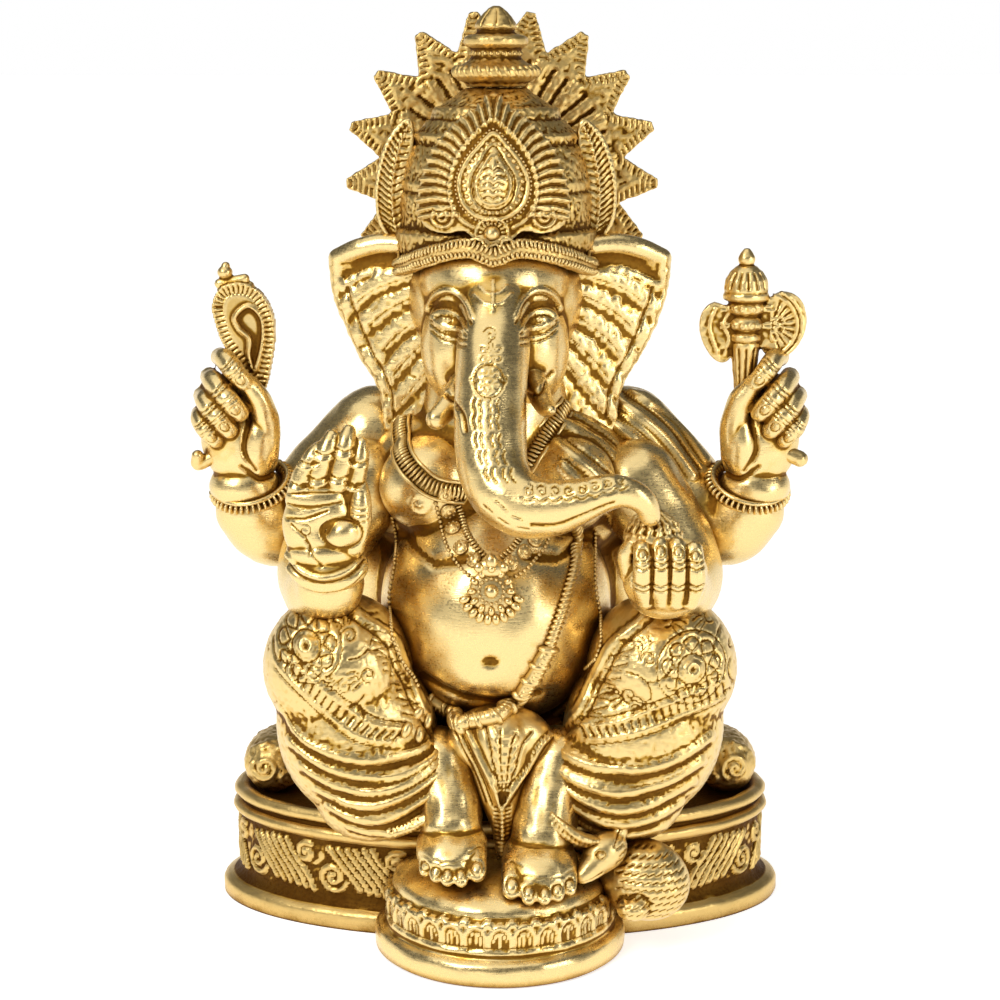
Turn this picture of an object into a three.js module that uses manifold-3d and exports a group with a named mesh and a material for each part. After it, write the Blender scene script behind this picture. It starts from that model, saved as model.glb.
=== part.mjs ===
// A seated four-armed Ganesha figure in cast brass, on an oval plinth with a round footstool.
// It is an assembly of separate castings: each one is trimmed back from its neighbours by a
// brazing gap. Millimetres, +Z up, the figure faces -Y and +X is on the viewer's right,
// so the figure's own right side is at -X.
import * as THREE from "three";
import { mergeVertices } from "three/addons/utils/BufferGeometryUtils.js";
import Module from "manifold-3d";

const wasm = await Module();
wasm.setup();

// Driving dimensions.
const GAP = 0.3; // brazing gap between neighbouring castings
const FINISH = 0.08; // facets finer than this are dressed off
const HEIGHT = 228; // plinth underside to finial tip
const PLINTH_HALF_WIDTH = 73;
const PLINTH_HALF_DEPTH = 38;
const PLINTH_TOP = 27; // seat surface inside the rim
const PLINTH_Y = 4; // the oval's centre
const STOOL_RADIUS = 31;
const STOOL_Y = -34;
const STOOL_TOP = 23; // crown of the domed cushion
const CROWN_Y = -2;
const CROWN_BASE = 167; // lower edge of the headband
const CROWN_TOP = 208;
const HALO_CENTRE = [0.5, 24, 187];
const HALO_RADIUS = 40.5;
const HALO_VALLEY = 31.5;
const HALO_RAYS = 17;
const HALO_THICKNESS = 2.6;
const RIGHT = -1; // the figure's own right, at -X
const LEFT = 1;
// Footprint, front of the stool to back of the plinth; the origin goes under its middle.
const FOOTPRINT_FRONT = STOOL_Y - STOOL_RADIUS;
const FOOTPRINT_BACK = PLINTH_Y + PLINTH_HALF_DEPTH;

// ---------- geometry helpers ----------

function solidOf(geometry) {
  const bare = geometry.clone();
  bare.deleteAttribute("normal");
  bare.deleteAttribute("uv");
  const merged = mergeVertices(bare, 1e-4);
  return new wasm.Manifold(
    new wasm.Mesh({
      numProp: 3,
      vertProperties: merged.attributes.position.array,
      triVerts: new Uint32Array(merged.index.array),
    }),
  );
}

function geometryOf(solid) {
  const { vertProperties, triVerts } = solid.getMesh();
  const geometry = new THREE.BufferGeometry();
  geometry.setAttribute("position", new THREE.BufferAttribute(vertProperties, 3));
  geometry.setIndex(new THREE.BufferAttribute(triVerts, 1));
  geometry.computeVertexNormals();
  return geometry;
}

const join = (...solids) => solids.reduce((all, next) => all.add(next));
const cut = (solid, ...tools) => tools.reduce((left, tool) => left.subtract(tool), solid);

// A form is made twice: as it is, and wider by the gap, to trim its neighbours with.
const form = (build) => ({ solid: build(0), wide: build(GAP) });

// An ellipsoid; turn is in degrees about X, Y and Z.
function ball(centre, radii, grow = 0, turn = [0, 0, 0], segments = [10, 7]) {
  const geometry = new THREE.SphereGeometry(1, ...segments);
  geometry.rotateX(Math.PI / 2);
  geometry.scale(...radii.map((radius) => radius + grow));
  const angles = turn.map(THREE.MathUtils.degToRad);
  geometry.applyMatrix4(new THREE.Matrix4().makeRotationFromEuler(new THREE.Euler(...angles)));
  geometry.translate(...centre);
  return solidOf(geometry);
}

// A round-ended tube through stations [x, y, z, radius]: a capsule bent along the curve.
function limb(stations, grow = 0, { sides = 10, steps = 4, cap = 2 } = {}) {
  const path = new THREE.CatmullRomCurve3(stations.map(([x, y, z]) => new THREE.Vector3(x, y, z)));
  const widths = new THREE.CatmullRomCurve3(stations.map(([, , , r]) => new THREE.Vector3(r, 0, 0)));
  const frames = path.computeFrenetFrames(steps, false);
  const geometry = new THREE.CapsuleGeometry(1, 1, cap, sides, steps);
  const position = geometry.attributes.position;
  for (let i = 0; i < position.count; i += 1) {
    const along = THREE.MathUtils.clamp(position.getY(i) + 0.5, 0, 1);
    const beyond = position.getY(i) + 0.5 - along;
    const step = Math.round(along * steps);
    const radius = widths.getPoint(path.getUtoTmapping(step / steps)).x + grow;
    const point = path.getPointAt(step / steps);
    point.addScaledVector(frames.normals[step], position.getX(i) * radius);
    point.addScaledVector(frames.tangents[step], beyond * radius);
    point.addScaledVector(frames.binormals[step], -position.getZ(i) * radius);
    position.setXYZ(i, point.x, point.y, point.z);
  }
  return solidOf(geometry);
}

// A turned body about a vertical axis, from [radius, height] points, with its depth scaled.
function turned(profile, [x, y], segments, depthScale = 1) {
  const points = profile.map(([radius, height]) => new THREE.Vector2(radius, height));
  const geometry = new THREE.LatheGeometry(points, segments);
  geometry.rotateX(Math.PI / 2);
  geometry.scale(1, depthScale, 1);
  geometry.translate(x, y, 0);
  return solidOf(geometry);
}

// A plate drawn in the XZ plane, with its middle at y; the outline is a THREE.Shape.
function plate(shape, y, thickness, bevel = 0.6, curveSegments = 6) {
  const geometry = new THREE.ExtrudeGeometry(shape, {
    depth: thickness - 2 * bevel,
    bevelThickness: bevel,
    bevelSize: bevel,
    bevelOffset: -bevel,
    bevelSegments: 1,
    curveSegments,
  });
  geometry.translate(0, 0, -(thickness / 2 - bevel));
  geometry.rotateX(Math.PI / 2);
  geometry.translate(0, y, 0);
  return solidOf(geometry);
}

// A closed smooth outline through [x, z] points.
function outline(points, divisions) {
  const curve = new THREE.SplineCurve([...points, points[0]].map(([x, z]) => new THREE.Vector2(x, z)));
  return new THREE.Shape(curve.getPoints(divisions).slice(0, -1));
}

// Mirrors a list of stations or centres to the asked side.
const sided = (side, stations) => stations.map(([x, ...rest]) => [side * x, ...rest]);

// ---------- plinth, stool and bolster ----------

function plinthOuter(grow) {
  const R = PLINTH_HALF_WIDTH;
  return turned(
    [
      [0, -grow],
      [R + grow, -grow],
      [R + grow, 4 + grow],
      [R - 4.5 + grow, 7 + grow],
      [R - 5.5 + grow, 21 - grow],
      [R - 3 + grow, 24 - grow],
      [R - 3 + grow, 28 + grow],
      [R - 8 - grow, 29.5 + grow],
      [R - 10 - grow, PLINTH_TOP + grow],
      [0, PLINTH_TOP + grow],
    ],
    [0, PLINTH_Y],
    36,
    (PLINTH_HALF_DEPTH + grow) / (R + grow),
  );
}

function plinthHollow() {
  const R = PLINTH_HALF_WIDTH;
  return turned(
    [
      [0, -1],
      [R - 7, -1],
      [R - 10, 18],
      [R - 14, PLINTH_TOP - 4],
      [0, PLINTH_TOP - 4],
    ],
    [0, PLINTH_Y],
    28,
    (PLINTH_HALF_DEPTH - 7) / (R - 7),
  );
}

const plinth = form(plinthOuter);

const stool = form((grow) =>
  turned(
    [
      [0, 0],
      [STOOL_RADIUS + grow, 0],
      [STOOL_RADIUS + grow, 6 + grow],
      [STOOL_RADIUS - 3.5 + grow, 7.5 + grow],
      [STOOL_RADIUS - 3.5 + grow, 11],
      [STOOL_RADIUS - 2.3 + grow, 13.5],
      [STOOL_RADIUS - 3.4 + grow, 16.4 + grow],
      [STOOL_RADIUS - 7 + grow, 19 + grow],
      [STOOL_RADIUS - 12, 21.2 + grow],
      [STOOL_RADIUS - 20, 22.6 + grow],
      [0, STOOL_TOP + grow],
    ],
    [0, STOOL_Y],
    36,
  ),
);

// The bolster lies round the back of the seat.
const BOLSTER = { halfWidth: 59.5, halfDepth: 27.5, z: 34.5, radius: 7.6 };
const bolster = form((grow) => {
  const stations = [];
  for (let degrees = -8; degrees <= 188; degrees += 14) {
    const angle = THREE.MathUtils.degToRad(degrees);
    const x = BOLSTER.halfWidth * Math.cos(angle);
    const y = PLINTH_Y + BOLSTER.halfDepth * Math.sin(angle);
    stations.push([x, y, BOLSTER.z, BOLSTER.radius]);
  }
  return limb(stations, grow, { sides: 8, steps: 16 });
});

// ---------- body ----------

const trunkOfBody = (grow) =>
  join(
    ball([-1, -12, 80], [29, 31, 30], grow, [0, 0, 0], [16, 12]), // belly
    ball([0, -3, 110], [35, 21, 24], grow, [0, 0, 0], [14, 10]), // chest
    ball([0, 3, 44], [41, 27, 24], grow, [0, 0, 0], [14, 10]), // hips
    ball([-1, 3, 88], [39.5, 15, 24], grow, [0, 0, 0], [14, 10]), // flanks, behind the arms
  );

// The core of the casting leaves an oval bore, which opens down through the deck of the plinth.
const coreBore = () =>
  turned(
    [
      [0, 15],
      [18, 15],
      [18, 84],
      [0, 84],
    ],
    [0, -2],
    16,
    0.7,
  );

const torso = form((grow) =>
  join(
    trunkOfBody(grow),
    ball([-17, -18, 112], [13, 11, 12], grow), // breasts
    ball([16, -18, 112], [13, 11, 12], grow),
    limb([[-1, -3, 118, 21], [-1, -3, 132, 19]], grow, { steps: 3 }), // neck
  ),
);

const headForm = (grow) =>
  join(
    ball([-1, -4, 157], [22, 21, 22], grow, [0, 0, 0], [14, 10]), // skull
    ball([-1.3, -11.6, 161.5], [18.6, 18, 13.4], grow), // forehead
    ball([-10, -16, 145.6], [9.3, 12, 15], grow, [12, 0, 0]), // cheeks
    ball([7.6, -16, 145.6], [9.3, 12, 15], grow, [12, 0, 0]),
    limb(
      [
        [-1, -17, 160, 10.6],
        [-1.4, -28, 151, 8.8],
        [-2, -37, 140, 8.6],
        [-2.3, -44, 128, 8.6],
        [-0.6, -50, 118.6, 8.2],
        [5.4, -54, 113.4, 7.4],
        [13, -56.6, 114, 6.2],
        [20, -58, 116.4, 4.7],
        [27, -58, 118, 3.8],
        [32.5, -57.5, 115.5, 3.2],
        [34.5, -56, 111.5, 2.6],
      ],
      grow,
      { sides: 10, steps: 15 },
    ), // trunk
    limb([[-9, -27, 137, 3.6], [-15, -36, 131.5, 2.8]], grow, { sides: 6, steps: 1 }), // broken tusk
    limb([[8, -27, 138, 3.4], [10.5, -38, 133.5, 2.6], [12.5, -44, 133, 1.5]], grow, { sides: 6, steps: 2 }),
  );
const head = form(headForm);

// ---------- arms ----------

const rearArm = (side) =>
  form((grow) =>
    limb(
      sided(side, [
        [32, 6, 120, 13],
        [42, 5, 110, 12.5],
        [51, 2, 101, 11.8],
        [58, -2, 98.5, 10.6],
        [62.5, -5, 103, 9.4],
      ]),
      grow,
      { steps: 6 },
    ),
  );

const frontArm = (side) =>
  form((grow) =>
    limb(
      sided(side, [
        [34, -8, 110, 11.5],
        [42, -12, 98, 10.6],
        [45.5, -18, 90, 9.8],
        [43.5, -28, 87.5, 9.2],
        [41, -36, 90.5, 8.6],
      ]),
      grow,
      { steps: 6 },
    ),
  );

const FINGER = { sides: 5, steps: 2, cap: 1 };

const GRIP_FINGERS = [
  [
    [69.4, -8.6, 142.2, 2.5],
    [67.4, -13.2, 142, 2.7],
    [65, -16, 139.6, 2.7],
    [62.8, -15.4, 136.8, 2.4],
  ],
  [
    [72, -8.6, 137.2, 2.6],
    [70, -14, 136.2, 2.8],
    [66.8, -17, 132.8, 2.8],
    [64, -15.8, 129.4, 2.5],
  ],
  [
    [74, -8.6, 132.6, 2.5],
    [72.2, -14, 131.6, 2.7],
    [69.4, -16.8, 128.4, 2.7],
    [66.8, -15.4, 125.2, 2.4],
  ],
  [
    [75.4, -8.2, 128, 2.3],
    [74.4, -12.6, 127.4, 2.4],
    [72.4, -15.6, 125, 2.4],
    [70.4, -14.4, 122.4, 2.1],
  ],
];

// A fist that grips something upright, with four curled fingers across it and the thumb over them.
const grippingHand = (side) =>
  form((grow) => {
    const fingers = [];
    for (const stations of GRIP_FINGERS) fingers.push(limb(sided(side, stations), grow, FINGER));
    const thumb = [
      [58.6, -10.6, 119, 4],
      [57.8, -12, 126, 3.5],
      [59.6, -13.4, 132.4, 3.1],
      [62.2, -14.6, 136.4, 2.4],
    ];
    return join(
      ball([side * 65, -7.6, 120], [9.4, 7.2, 11.4], grow, [0, side * 24, 0]), // palm
      ball([side * 59.8, -10.4, 121], [4.8, 5.4, 9.4], grow, [0, side * -6, 0]), // heel of the thumb
      ball([side * 68.4, -7.4, 128.6], [6.6, 5.8, 9.4], grow, [0, side * 30, 0]), // back of the hand
      ball([side * 64.6, -7, 134], [4.6, 5, 6.4], grow, [0, side * 30, 0]),
      ball([side * 64.2, -7, 109.4], [8.8, 7.8, 6.4], grow), // wrist
      limb(sided(side, thumb), grow, FINGER),
      ...fingers,
    );
  });

// The open hand that blesses, palm to the front.
const BLESSING_FINGERS = [
  [
    [-47.6, -46.6, 114, 2.6],
    [-46.2, -47, 119, 2.5],
    [-42.2, -46, 125.6, 1.8],
  ],
  [
    [-43.2, -46.6, 114.6, 2.7],
    [-42, -47, 120.6, 2.6],
    [-39.4, -46, 128.2, 1.9],
  ],
  [
    [-38.6, -46.6, 114.6, 2.7],
    [-37, -47, 121, 2.6],
    [-35.2, -45.6, 129.2, 1.9],
  ],
  [
    [-35.4, -46, 114, 2.4],
    [-33.4, -46.4, 119, 2.3],
    [-32.2, -45.4, 126.4, 1.7],
  ],
];

const blessingHand = form((grow) => {
  const fingers = BLESSING_FINGERS.map((stations) => limb(stations, grow, FINGER));
  const thumb = [
    [-34.6, -47, 103, 3.2],
    [-32.6, -48, 109.4, 2.9],
    [-32.4, -47, 116.6, 1.9],
  ];
  return join(
    ball([-42, -46, 107.4], [9, 4.8, 10.6], grow), // palm
    ball([-42.6, -46.6, 113.4], [7.6, 3.8, 4.8], grow),
    ball([-36.8, -48.6, 106], [4.6, 3.6, 3.8], grow, [0, -24, 0]), // ball of the thumb
    ball([-40.6, -43.4, 97], [9.6, 7.2, 6.2], grow), // wrist
    limb(thumb, grow, FINGER),
    ...fingers,
  );
});

// The cupped hand that holds the sweet, backs of the fingers to the front.
const bowlHand = form((grow) => {
  const fingers = [];
  for (let i = 0; i < 4; i += 1) {
    const x = 32.6 + 4.1 * i;
    fingers.push(
      limb(
        [
          [x, -54.5, 96, 2.3],
          [x, -57.4, 100.6, 2.4],
          [x - 0.2, -56.2, 105, 2.2],
        ],
        grow,
        FINGER,
      ),
    );
  }
  return join(
    ball([38.8, -49.5, 95.4], [10.4, 8.6, 10.4], grow), // closed palm
    ball([40.4, -42, 95], [8.8, 7, 7.6], grow), // wrist
    ...fingers,
  );
});

const modak = form((grow) =>
  turned(
    [
      [0, 103.6 - grow],
      [6.4 + grow, 104 - grow],
      [6.8 + grow, 106.4],
      [5.4 + grow, 109.4 + grow],
      [2.6 + grow, 111.6 + grow],
      [0, 112.6 + grow],
    ],
    [35.6, -50],
    16,
  ),
);

// ---------- legs, feet and drape ----------

const leg = (side) =>
  form((grow) =>
    join(
      limb(sided(side, [[16, 4, 54, 17], [27, -10, 60, 17.5], [37, -24, 66, 17]]), grow, {
        steps: 5,
      }), // thigh
      ball([side * 40, -30, 69], [18, 18, 18], grow, [0, 0, 0], [12, 10]), // knee
      ball([side * 34.5, -30.5, 51.5], [19.5, 17, 21.5], grow, [0, side * 14, 0], [12, 10]), // calf
      ball([side * 27, -34, 40], [18, 13, 14], grow, [0, side * 24, 0]), // gathered folds
    ),
  );

// The feet differ: the right one rests higher and further back on the stool.
const rightFoot = form((grow) =>
  join(
    limb([[-15, -33, 46, 8.6], [-12.6, -38.6, 38, 8.2], [-11.8, -43, 32.5, 7.6]], grow, { steps: 4 }), // shin
    ball([-11.6, -46, 28.6], [8.6, 10.5, 6], grow, [18, 0, -6]), // instep
    ball([-11.8, -51, 25.6], [8.6, 6, 3.4], grow, [0, 0, 6]), // toes
  ),
);
const leftFoot = form((grow) =>
  join(
    limb([[14, -33, 46, 8.6], [11.6, -39, 37, 8.2], [10.4, -44, 30, 7.8]], grow, { steps: 4 }),
    ball([9.6, -48, 25.4], [9.2, 11, 6], grow, [18, 0, 6]),
    ball([9.8, -54, 22.6], [9.4, 6, 3.2], grow, [0, 0, -6]),
  ),
);

const drape = form((grow) =>
  join(
    ball([0, -36, 52], [13, 7, 9], grow),
    limb([[0, -36, 52, 9], [0, -39, 42, 6], [0.6, -41, 33, 3.2], [0.6, -42, 26.6, 1.9]], grow, { steps: 5 }),
  ),
);

// ---------- head pieces ----------

// An ear: a plate with a rolled rim, swept back from the head.
function earForm(side, grow) {
  const leaf = plate(
    outline(
      [
        [12, 168],
        [26, 170],
        [42, 166.5],
        [42, 157],
        [36, 144],
        [30, 134],
        [29, 124],
        [20, 122],
        [13, 134],
      ],
      22,
    ),
    0,
    3.4 + 2 * grow,
  );
  const rim = limb(
    [
      [14, 0, 168, 2.4],
      [27, 0, 170, 2.6],
      [41.8, 0, 166, 2.5],
      [41, 0, 156, 1.9],
      [35.4, 0, 143.6, 1.7],
      [29.6, 0, 134, 1.7],
      [28, 0, 124, 1.9],
    ],
    grow,
    { sides: 6, steps: 14, cap: 1 },
  );
  const sweepBack = THREE.MathUtils.degToRad(17);
  const place = new THREE.Matrix4().makeTranslation(15, -9, 0);
  place.multiply(new THREE.Matrix4().makeRotationZ(sweepBack));
  place.multiply(new THREE.Matrix4().makeTranslation(-15, 0, 0));
  const placed = join(leaf, rim).transform(place.elements);
  return side === LEFT ? placed : placed.mirror([1, 0, 0]);
}

const CROWN_PROFILE = [
  [24.6, CROWN_BASE],
  [25.2, CROWN_BASE + 3],
  [25.2, CROWN_BASE + 6],
  [23.8, CROWN_BASE + 7.4],
  [23.8, CROWN_BASE + 15],
  [22.4, CROWN_BASE + 23],
  [19.2, CROWN_BASE + 30.5],
  [14.6, CROWN_BASE + 36],
  [9.6, CROWN_BASE + 39.4],
  [7.4, CROWN_TOP],
];
const CROWN_DEPTH = 0.94;
const crownForm = (grow) =>
  turned(
    [
      [0, CROWN_BASE - grow],
      ...CROWN_PROFILE.map(([r, z], i) => [r + grow, z + (i === 0 ? -grow : 0)]),
      [0, CROWN_TOP],
    ],
    [-1, CROWN_Y],
    26,
    CROWN_DEPTH,
  );
const crown = form(crownForm);

// The crest is a leaf-shaped plate that lies over the front of the crown.
const CREST_THICKNESS = 2.4;
function crest() {
  const leaf = plate(
    outline(
      [
        [-1, 206.5],
        [8, 198.5],
        [15.5, 188],
        [17, 177.5],
        [9, 173.6],
        [-1, 172.6],
        [-11, 173.6],
        [-19, 177.5],
        [-17.5, 188],
        [-10, 198.5],
      ],
      20,
    ),
    -18,
    26,
    0,
  );
  return cut(leaf.intersect(crownForm(GAP + CREST_THICKNESS)), crown.wide);
}

// The leaf that stands upright at each side of the crown.
function crownLeaf(side) {
  const leaf = plate(
    outline(
      [
        [20.5, 167.5],
        [27.5, 174],
        [28.6, 185],
        [25.5, 196],
        [20, 200.6],
        [19, 192],
        [21, 182],
        [19, 173],
      ],
      16,
    ),
    -4,
    4,
  );
  return side === LEFT ? leaf : leaf.mirror([1, 0, 0]).translate([-2, 0, 0]);
}

const finial = form((grow) =>
  turned(
    [
      [0, CROWN_TOP + 0.3],
      [7.2 + grow, CROWN_TOP + 0.3],
      [11.2, CROWN_TOP + 2.2],
      [11.6 + grow, CROWN_TOP + 4.4],
      [6.4, CROWN_TOP + 7],
      [5.8, CROWN_TOP + 9.4],
      [7.6 + grow, CROWN_TOP + 10.6],
      [7.6 + grow, CROWN_TOP + 12.2],
      [4.6, CROWN_TOP + 13.4],
      [5.1, CROWN_TOP + 14.4],
      [4.6, CROWN_TOP + 16],
      [2.2, CROWN_TOP + 18.6],
      [0, HEIGHT],
    ],
    [-1, CROWN_Y],
    18,
  ),
);

// The halo: a flat sun disc with pointed rays.
function halo() {
  const [cx, cy, cz] = HALO_CENTRE;
  const shape = new THREE.Shape();
  const pitch = (2 * Math.PI) / HALO_RAYS;
  for (let i = 0; i < HALO_RAYS; i += 1) {
    const tip = Math.PI / 2 + (i + 0.5) * pitch;
    const tipFlat = 0.028; // half-angle of the blunt tip
    const points = [
      [HALO_VALLEY, tip - pitch / 2],
      [HALO_RADIUS, tip - tipFlat],
      [HALO_RADIUS, tip + tipFlat],
    ];
    for (const [radius, angle] of points) {
      const x = cx + radius * Math.cos(angle);
      const z = cz + radius * Math.sin(angle);
      if (i === 0 && radius === HALO_VALLEY) shape.moveTo(x, z);
      else shape.lineTo(x, z);
    }
  }
  return plate(shape, cy, HALO_THICKNESS, 0.5);
}

// A stub cast on the back of the crown carries the halo; its end is peened over behind it.
const STUB = { x: -0.5, z: 187, radius: 3.6 };
const haloStub = form((grow) =>
  limb(
    [
      [STUB.x, 12, STUB.z, STUB.radius],
      [STUB.x, HALO_CENTRE[1] + 1.2, STUB.z, STUB.radius],
    ],
    grow,
    { steps: 1, cap: 1 },
  ),
);

// The rivet is a domed washer behind the halo's back face.
function haloRivet() {
  const [, cy] = HALO_CENTRE;
  const back = cy + HALO_THICKNESS / 2 + GAP;
  const dome = [
    [0, 0],
    [6.4, 0],
    [6.4, 0.9],
    [5, 2.2],
    [2.4, 3.6],
    [0, 4],
  ];
  const geometry = new THREE.LatheGeometry(
    dome.map(([radius, height]) => new THREE.Vector2(radius, height)),
    16,
  );
  geometry.translate(STUB.x, back, STUB.z);
  return solidOf(geometry);
}

// ---------- things held, and the mouse ----------

function noose() {
  const loop = plate(
    outline(
      [
        [-70.6, 155],
        [-69.6, 150],
        [-68.2, 146],
        [-64.6, 140.8],
        [-61, 136.6],
        [-58.8, 133.6],
        [-57, 139],
        [-55.6, 148],
        [-56.4, 154],
        [-59.4, 158.8],
        [-64, 160.6],
        [-68.8, 159.2],
      ],
      16,
    ),
    -10,
    3.6,
  );
  const knob = ball([-67.6, -10, 163.2], [2.2, 2.2, 2.2], 0, [0, 0, 0], [8, 6]);
  const collar = limb([[-69.4, -10, 160.4, 1.4], [-63, -10, 161.6, 1.4]], 0, { sides: 6, steps: 1, cap: 1 });
  const hook = [
    [-60, -10, 134, 1.7],
    [-66, -10, 122, 1.7],
    [-75, -10.6, 115.8, 1.9],
    [-76, -11.6, 117.8, 1.7],
  ];
  const tail = limb(hook, 0, { sides: 6, steps: 5, cap: 1 });
  return join(loop, knob, collar, tail);
}

const AXE_X = 61;
const AXE_Y = -10;
function axe() {
  const shaft = turned(
    [
      [0, 126],
      [1.8, 126.4],
      [2.6, 132],
      [3.4, 144.4],
      [4, 145],
      [4, 147],
      [3.2, 147.6],
      [3.9, 150],
      [3.2, 152.4],
      [4.4, 153.2],
      [4.4, 156],
      [5.6, 157],
      [5.4, 161],
      [3.4, 164.6],
      [1.6, 165.6],
      [1.9, 167.6],
      [0, 169.4],
    ],
    [AXE_X, AXE_Y],
    12,
  );
  const blade = plate(
    outline(
      [
        [63, 147],
        [64, 153],
        [66.4, 157],
        [70, 158.6],
        [74, 156.8],
        [75.6, 151.4],
        [74, 146],
        [70.6, 142.8],
        [66.6, 142.2],
      ],
      14,
    ),
    AXE_Y,
    2.6,
  );
  const beard = plate(
    outline(
      [
        [59, 154],
        [52.6, 156],
        [49.9, 153.6],
        [49.2, 150],
        [50.2, 145.8],
        [53, 141.8],
        [59, 142],
      ],
      12,
    ),
    AXE_Y,
    2.6,
  );
  const handle = [
    [61.4, AXE_Y, 127, 1.8],
    [66, AXE_Y - 0.4, 121, 1.9],
    [75, AXE_Y - 1.2, 117, 2.3],
  ];
  const tail = limb(handle, 0, { sides: 6, steps: 4, cap: 1 });
  return join(shaft, blade, beard, tail);
}

const mouse = form((grow) =>
  join(
    ball([35, -39.6, 18], [12, 9.4, 10.2], grow, [0, 14, -18], [12, 8]), // body
    ball([23.8, -47.4, 26.8], [6.6, 4.4, 4.4], grow, [0, -18, 30], [10, 8]), // head
    ball([28.6, -44.8, 31], [2, 1.4, 3.2], grow, [0, 36, 20], [8, 6]), // ear
  ),
);

// ---------- trimming and assembly ----------

const arms = {
  rearRight: rearArm(RIGHT),
  rearLeft: rearArm(LEFT),
  frontRight: frontArm(RIGHT),
  frontLeft: frontArm(LEFT),
};
const hands = { rearRight: grippingHand(RIGHT), rearLeft: grippingHand(LEFT) };
const legs = { right: leg(RIGHT), left: leg(LEFT) };
const feet = { right: rightFoot, left: leftFoot };
const ears = { right: form((grow) => earForm(RIGHT, grow)), left: form((grow) => earForm(LEFT, grow)) };

const brass = (color, roughness) => new THREE.MeshStandardMaterial({ color, roughness, metalness: 1 });
const polished = brass("#dcb25a", 0.24);
const chased = brass("#cf9f45", 0.34);
const antique = brass("#a87c34", 0.42);

const pieces = {
  plinth: [cut(plinth.solid, plinthHollow(), coreBore()), antique],
  footstool: [cut(stool.solid, plinth.wide), polished],
  seat_bolster: [cut(bolster.solid, plinth.wide, torso.wide, legs.right.wide, legs.left.wide), antique],
  torso: [cut(torso.solid, plinth.wide, coreBore()), polished],
  right_leg: [cut(legs.right.solid, torso.wide, plinth.wide, stool.wide), chased],
  left_leg: [cut(legs.left.solid, torso.wide, plinth.wide, stool.wide), chased],
  right_foot: [cut(feet.right.solid, legs.right.wide, stool.wide, plinth.wide, torso.wide), polished],
  left_foot: [cut(feet.left.solid, legs.left.wide, stool.wide, plinth.wide, torso.wide), polished],
  loin_drape: [
    cut(
      drape.solid,
      torso.wide,
      legs.right.wide,
      legs.left.wide,
      feet.right.wide,
      feet.left.wide,
      plinth.wide,
      stool.wide,
    ),
    chased,
  ],
  rear_right_arm: [cut(arms.rearRight.solid, torso.wide), polished],
  rear_left_arm: [cut(arms.rearLeft.solid, torso.wide), polished],
  rear_right_hand: [cut(hands.rearRight.solid, arms.rearRight.wide), polished],
  rear_left_hand: [cut(hands.rearLeft.solid, arms.rearLeft.wide), polished],
  noose: [cut(noose(), hands.rearRight.wide), chased],
  axe: [cut(axe(), hands.rearLeft.wide), chased],
  front_right_arm: [cut(arms.frontRight.solid, torso.wide, arms.rearRight.wide, legs.right.wide), polished],
  front_left_arm: [cut(arms.frontLeft.solid, torso.wide, arms.rearLeft.wide, legs.left.wide), polished],
  blessing_hand: [cut(blessingHand.solid, arms.frontRight.wide, legs.right.wide), polished],
  bowl_hand: [cut(bowlHand.solid, arms.frontLeft.wide, legs.left.wide, torso.wide), polished],
  modak: [cut(modak.solid, bowlHand.wide, head.wide), chased],
  head: [cut(head.solid, torso.wide), polished],
  crown: [cut(crown.solid, head.wide), antique],
  crown_crest: [cut(crest(), head.wide), chased],
  right_crown_leaf: [cut(crownLeaf(RIGHT), crown.wide, head.wide, ears.right.wide), chased],
  left_crown_leaf: [cut(crownLeaf(LEFT), crown.wide, head.wide, ears.left.wide), chased],
  crown_finial: [finial.solid, antique],
  right_ear: [
    cut(ears.right.solid, head.wide, torso.wide, arms.rearRight.wide, arms.frontRight.wide, crown.wide),
    polished,
  ],
  left_ear: [
    cut(ears.left.solid, head.wide, torso.wide, arms.rearLeft.wide, arms.frontLeft.wide, crown.wide),
    polished,
  ],
  halo: [cut(halo(), haloStub.wide), antique],
  halo_stub: [cut(haloStub.solid, crown.wide), antique],
  halo_rivet: [cut(haloRivet(), haloStub.wide), antique],
  mouse: [cut(mouse.solid, plinth.wide, stool.wide, feet.left.wide, legs.left.wide), chased],
};

const idol = new THREE.Group();
idol.position.y = -(FOOTPRINT_FRONT + FOOTPRINT_BACK) / 2;
for (const [name, [solid, material]] of Object.entries(pieces)) {
  const [largest] = solid.simplify(FINISH).decompose().sort((a, b) => b.volume() - a.volume());
  const mesh = new THREE.Mesh(geometryOf(largest), material);
  mesh.name = name;
  idol.add(mesh);
}

export default idol;
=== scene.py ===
import math

import bmesh
import bpy
import numpy as np
from mathutils import Matrix, Vector, noise
from mathutils.bvhtree import BVHTree


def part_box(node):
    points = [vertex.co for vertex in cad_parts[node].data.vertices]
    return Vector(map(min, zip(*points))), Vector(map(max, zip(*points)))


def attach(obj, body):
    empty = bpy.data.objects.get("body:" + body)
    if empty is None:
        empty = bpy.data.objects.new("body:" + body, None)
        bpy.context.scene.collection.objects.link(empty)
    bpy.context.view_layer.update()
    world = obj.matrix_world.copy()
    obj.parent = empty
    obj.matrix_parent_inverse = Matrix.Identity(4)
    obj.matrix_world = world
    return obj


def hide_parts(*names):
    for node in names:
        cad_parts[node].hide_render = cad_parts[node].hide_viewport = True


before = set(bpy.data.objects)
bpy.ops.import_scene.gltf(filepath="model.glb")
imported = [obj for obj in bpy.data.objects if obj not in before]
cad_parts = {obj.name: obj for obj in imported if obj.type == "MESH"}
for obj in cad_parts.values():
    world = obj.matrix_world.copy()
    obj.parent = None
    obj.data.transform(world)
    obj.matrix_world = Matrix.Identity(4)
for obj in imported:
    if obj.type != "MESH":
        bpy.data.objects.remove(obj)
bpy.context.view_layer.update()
scene = bpy.context.scene
print("frame loaded:", len(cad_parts), "castings")

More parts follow.
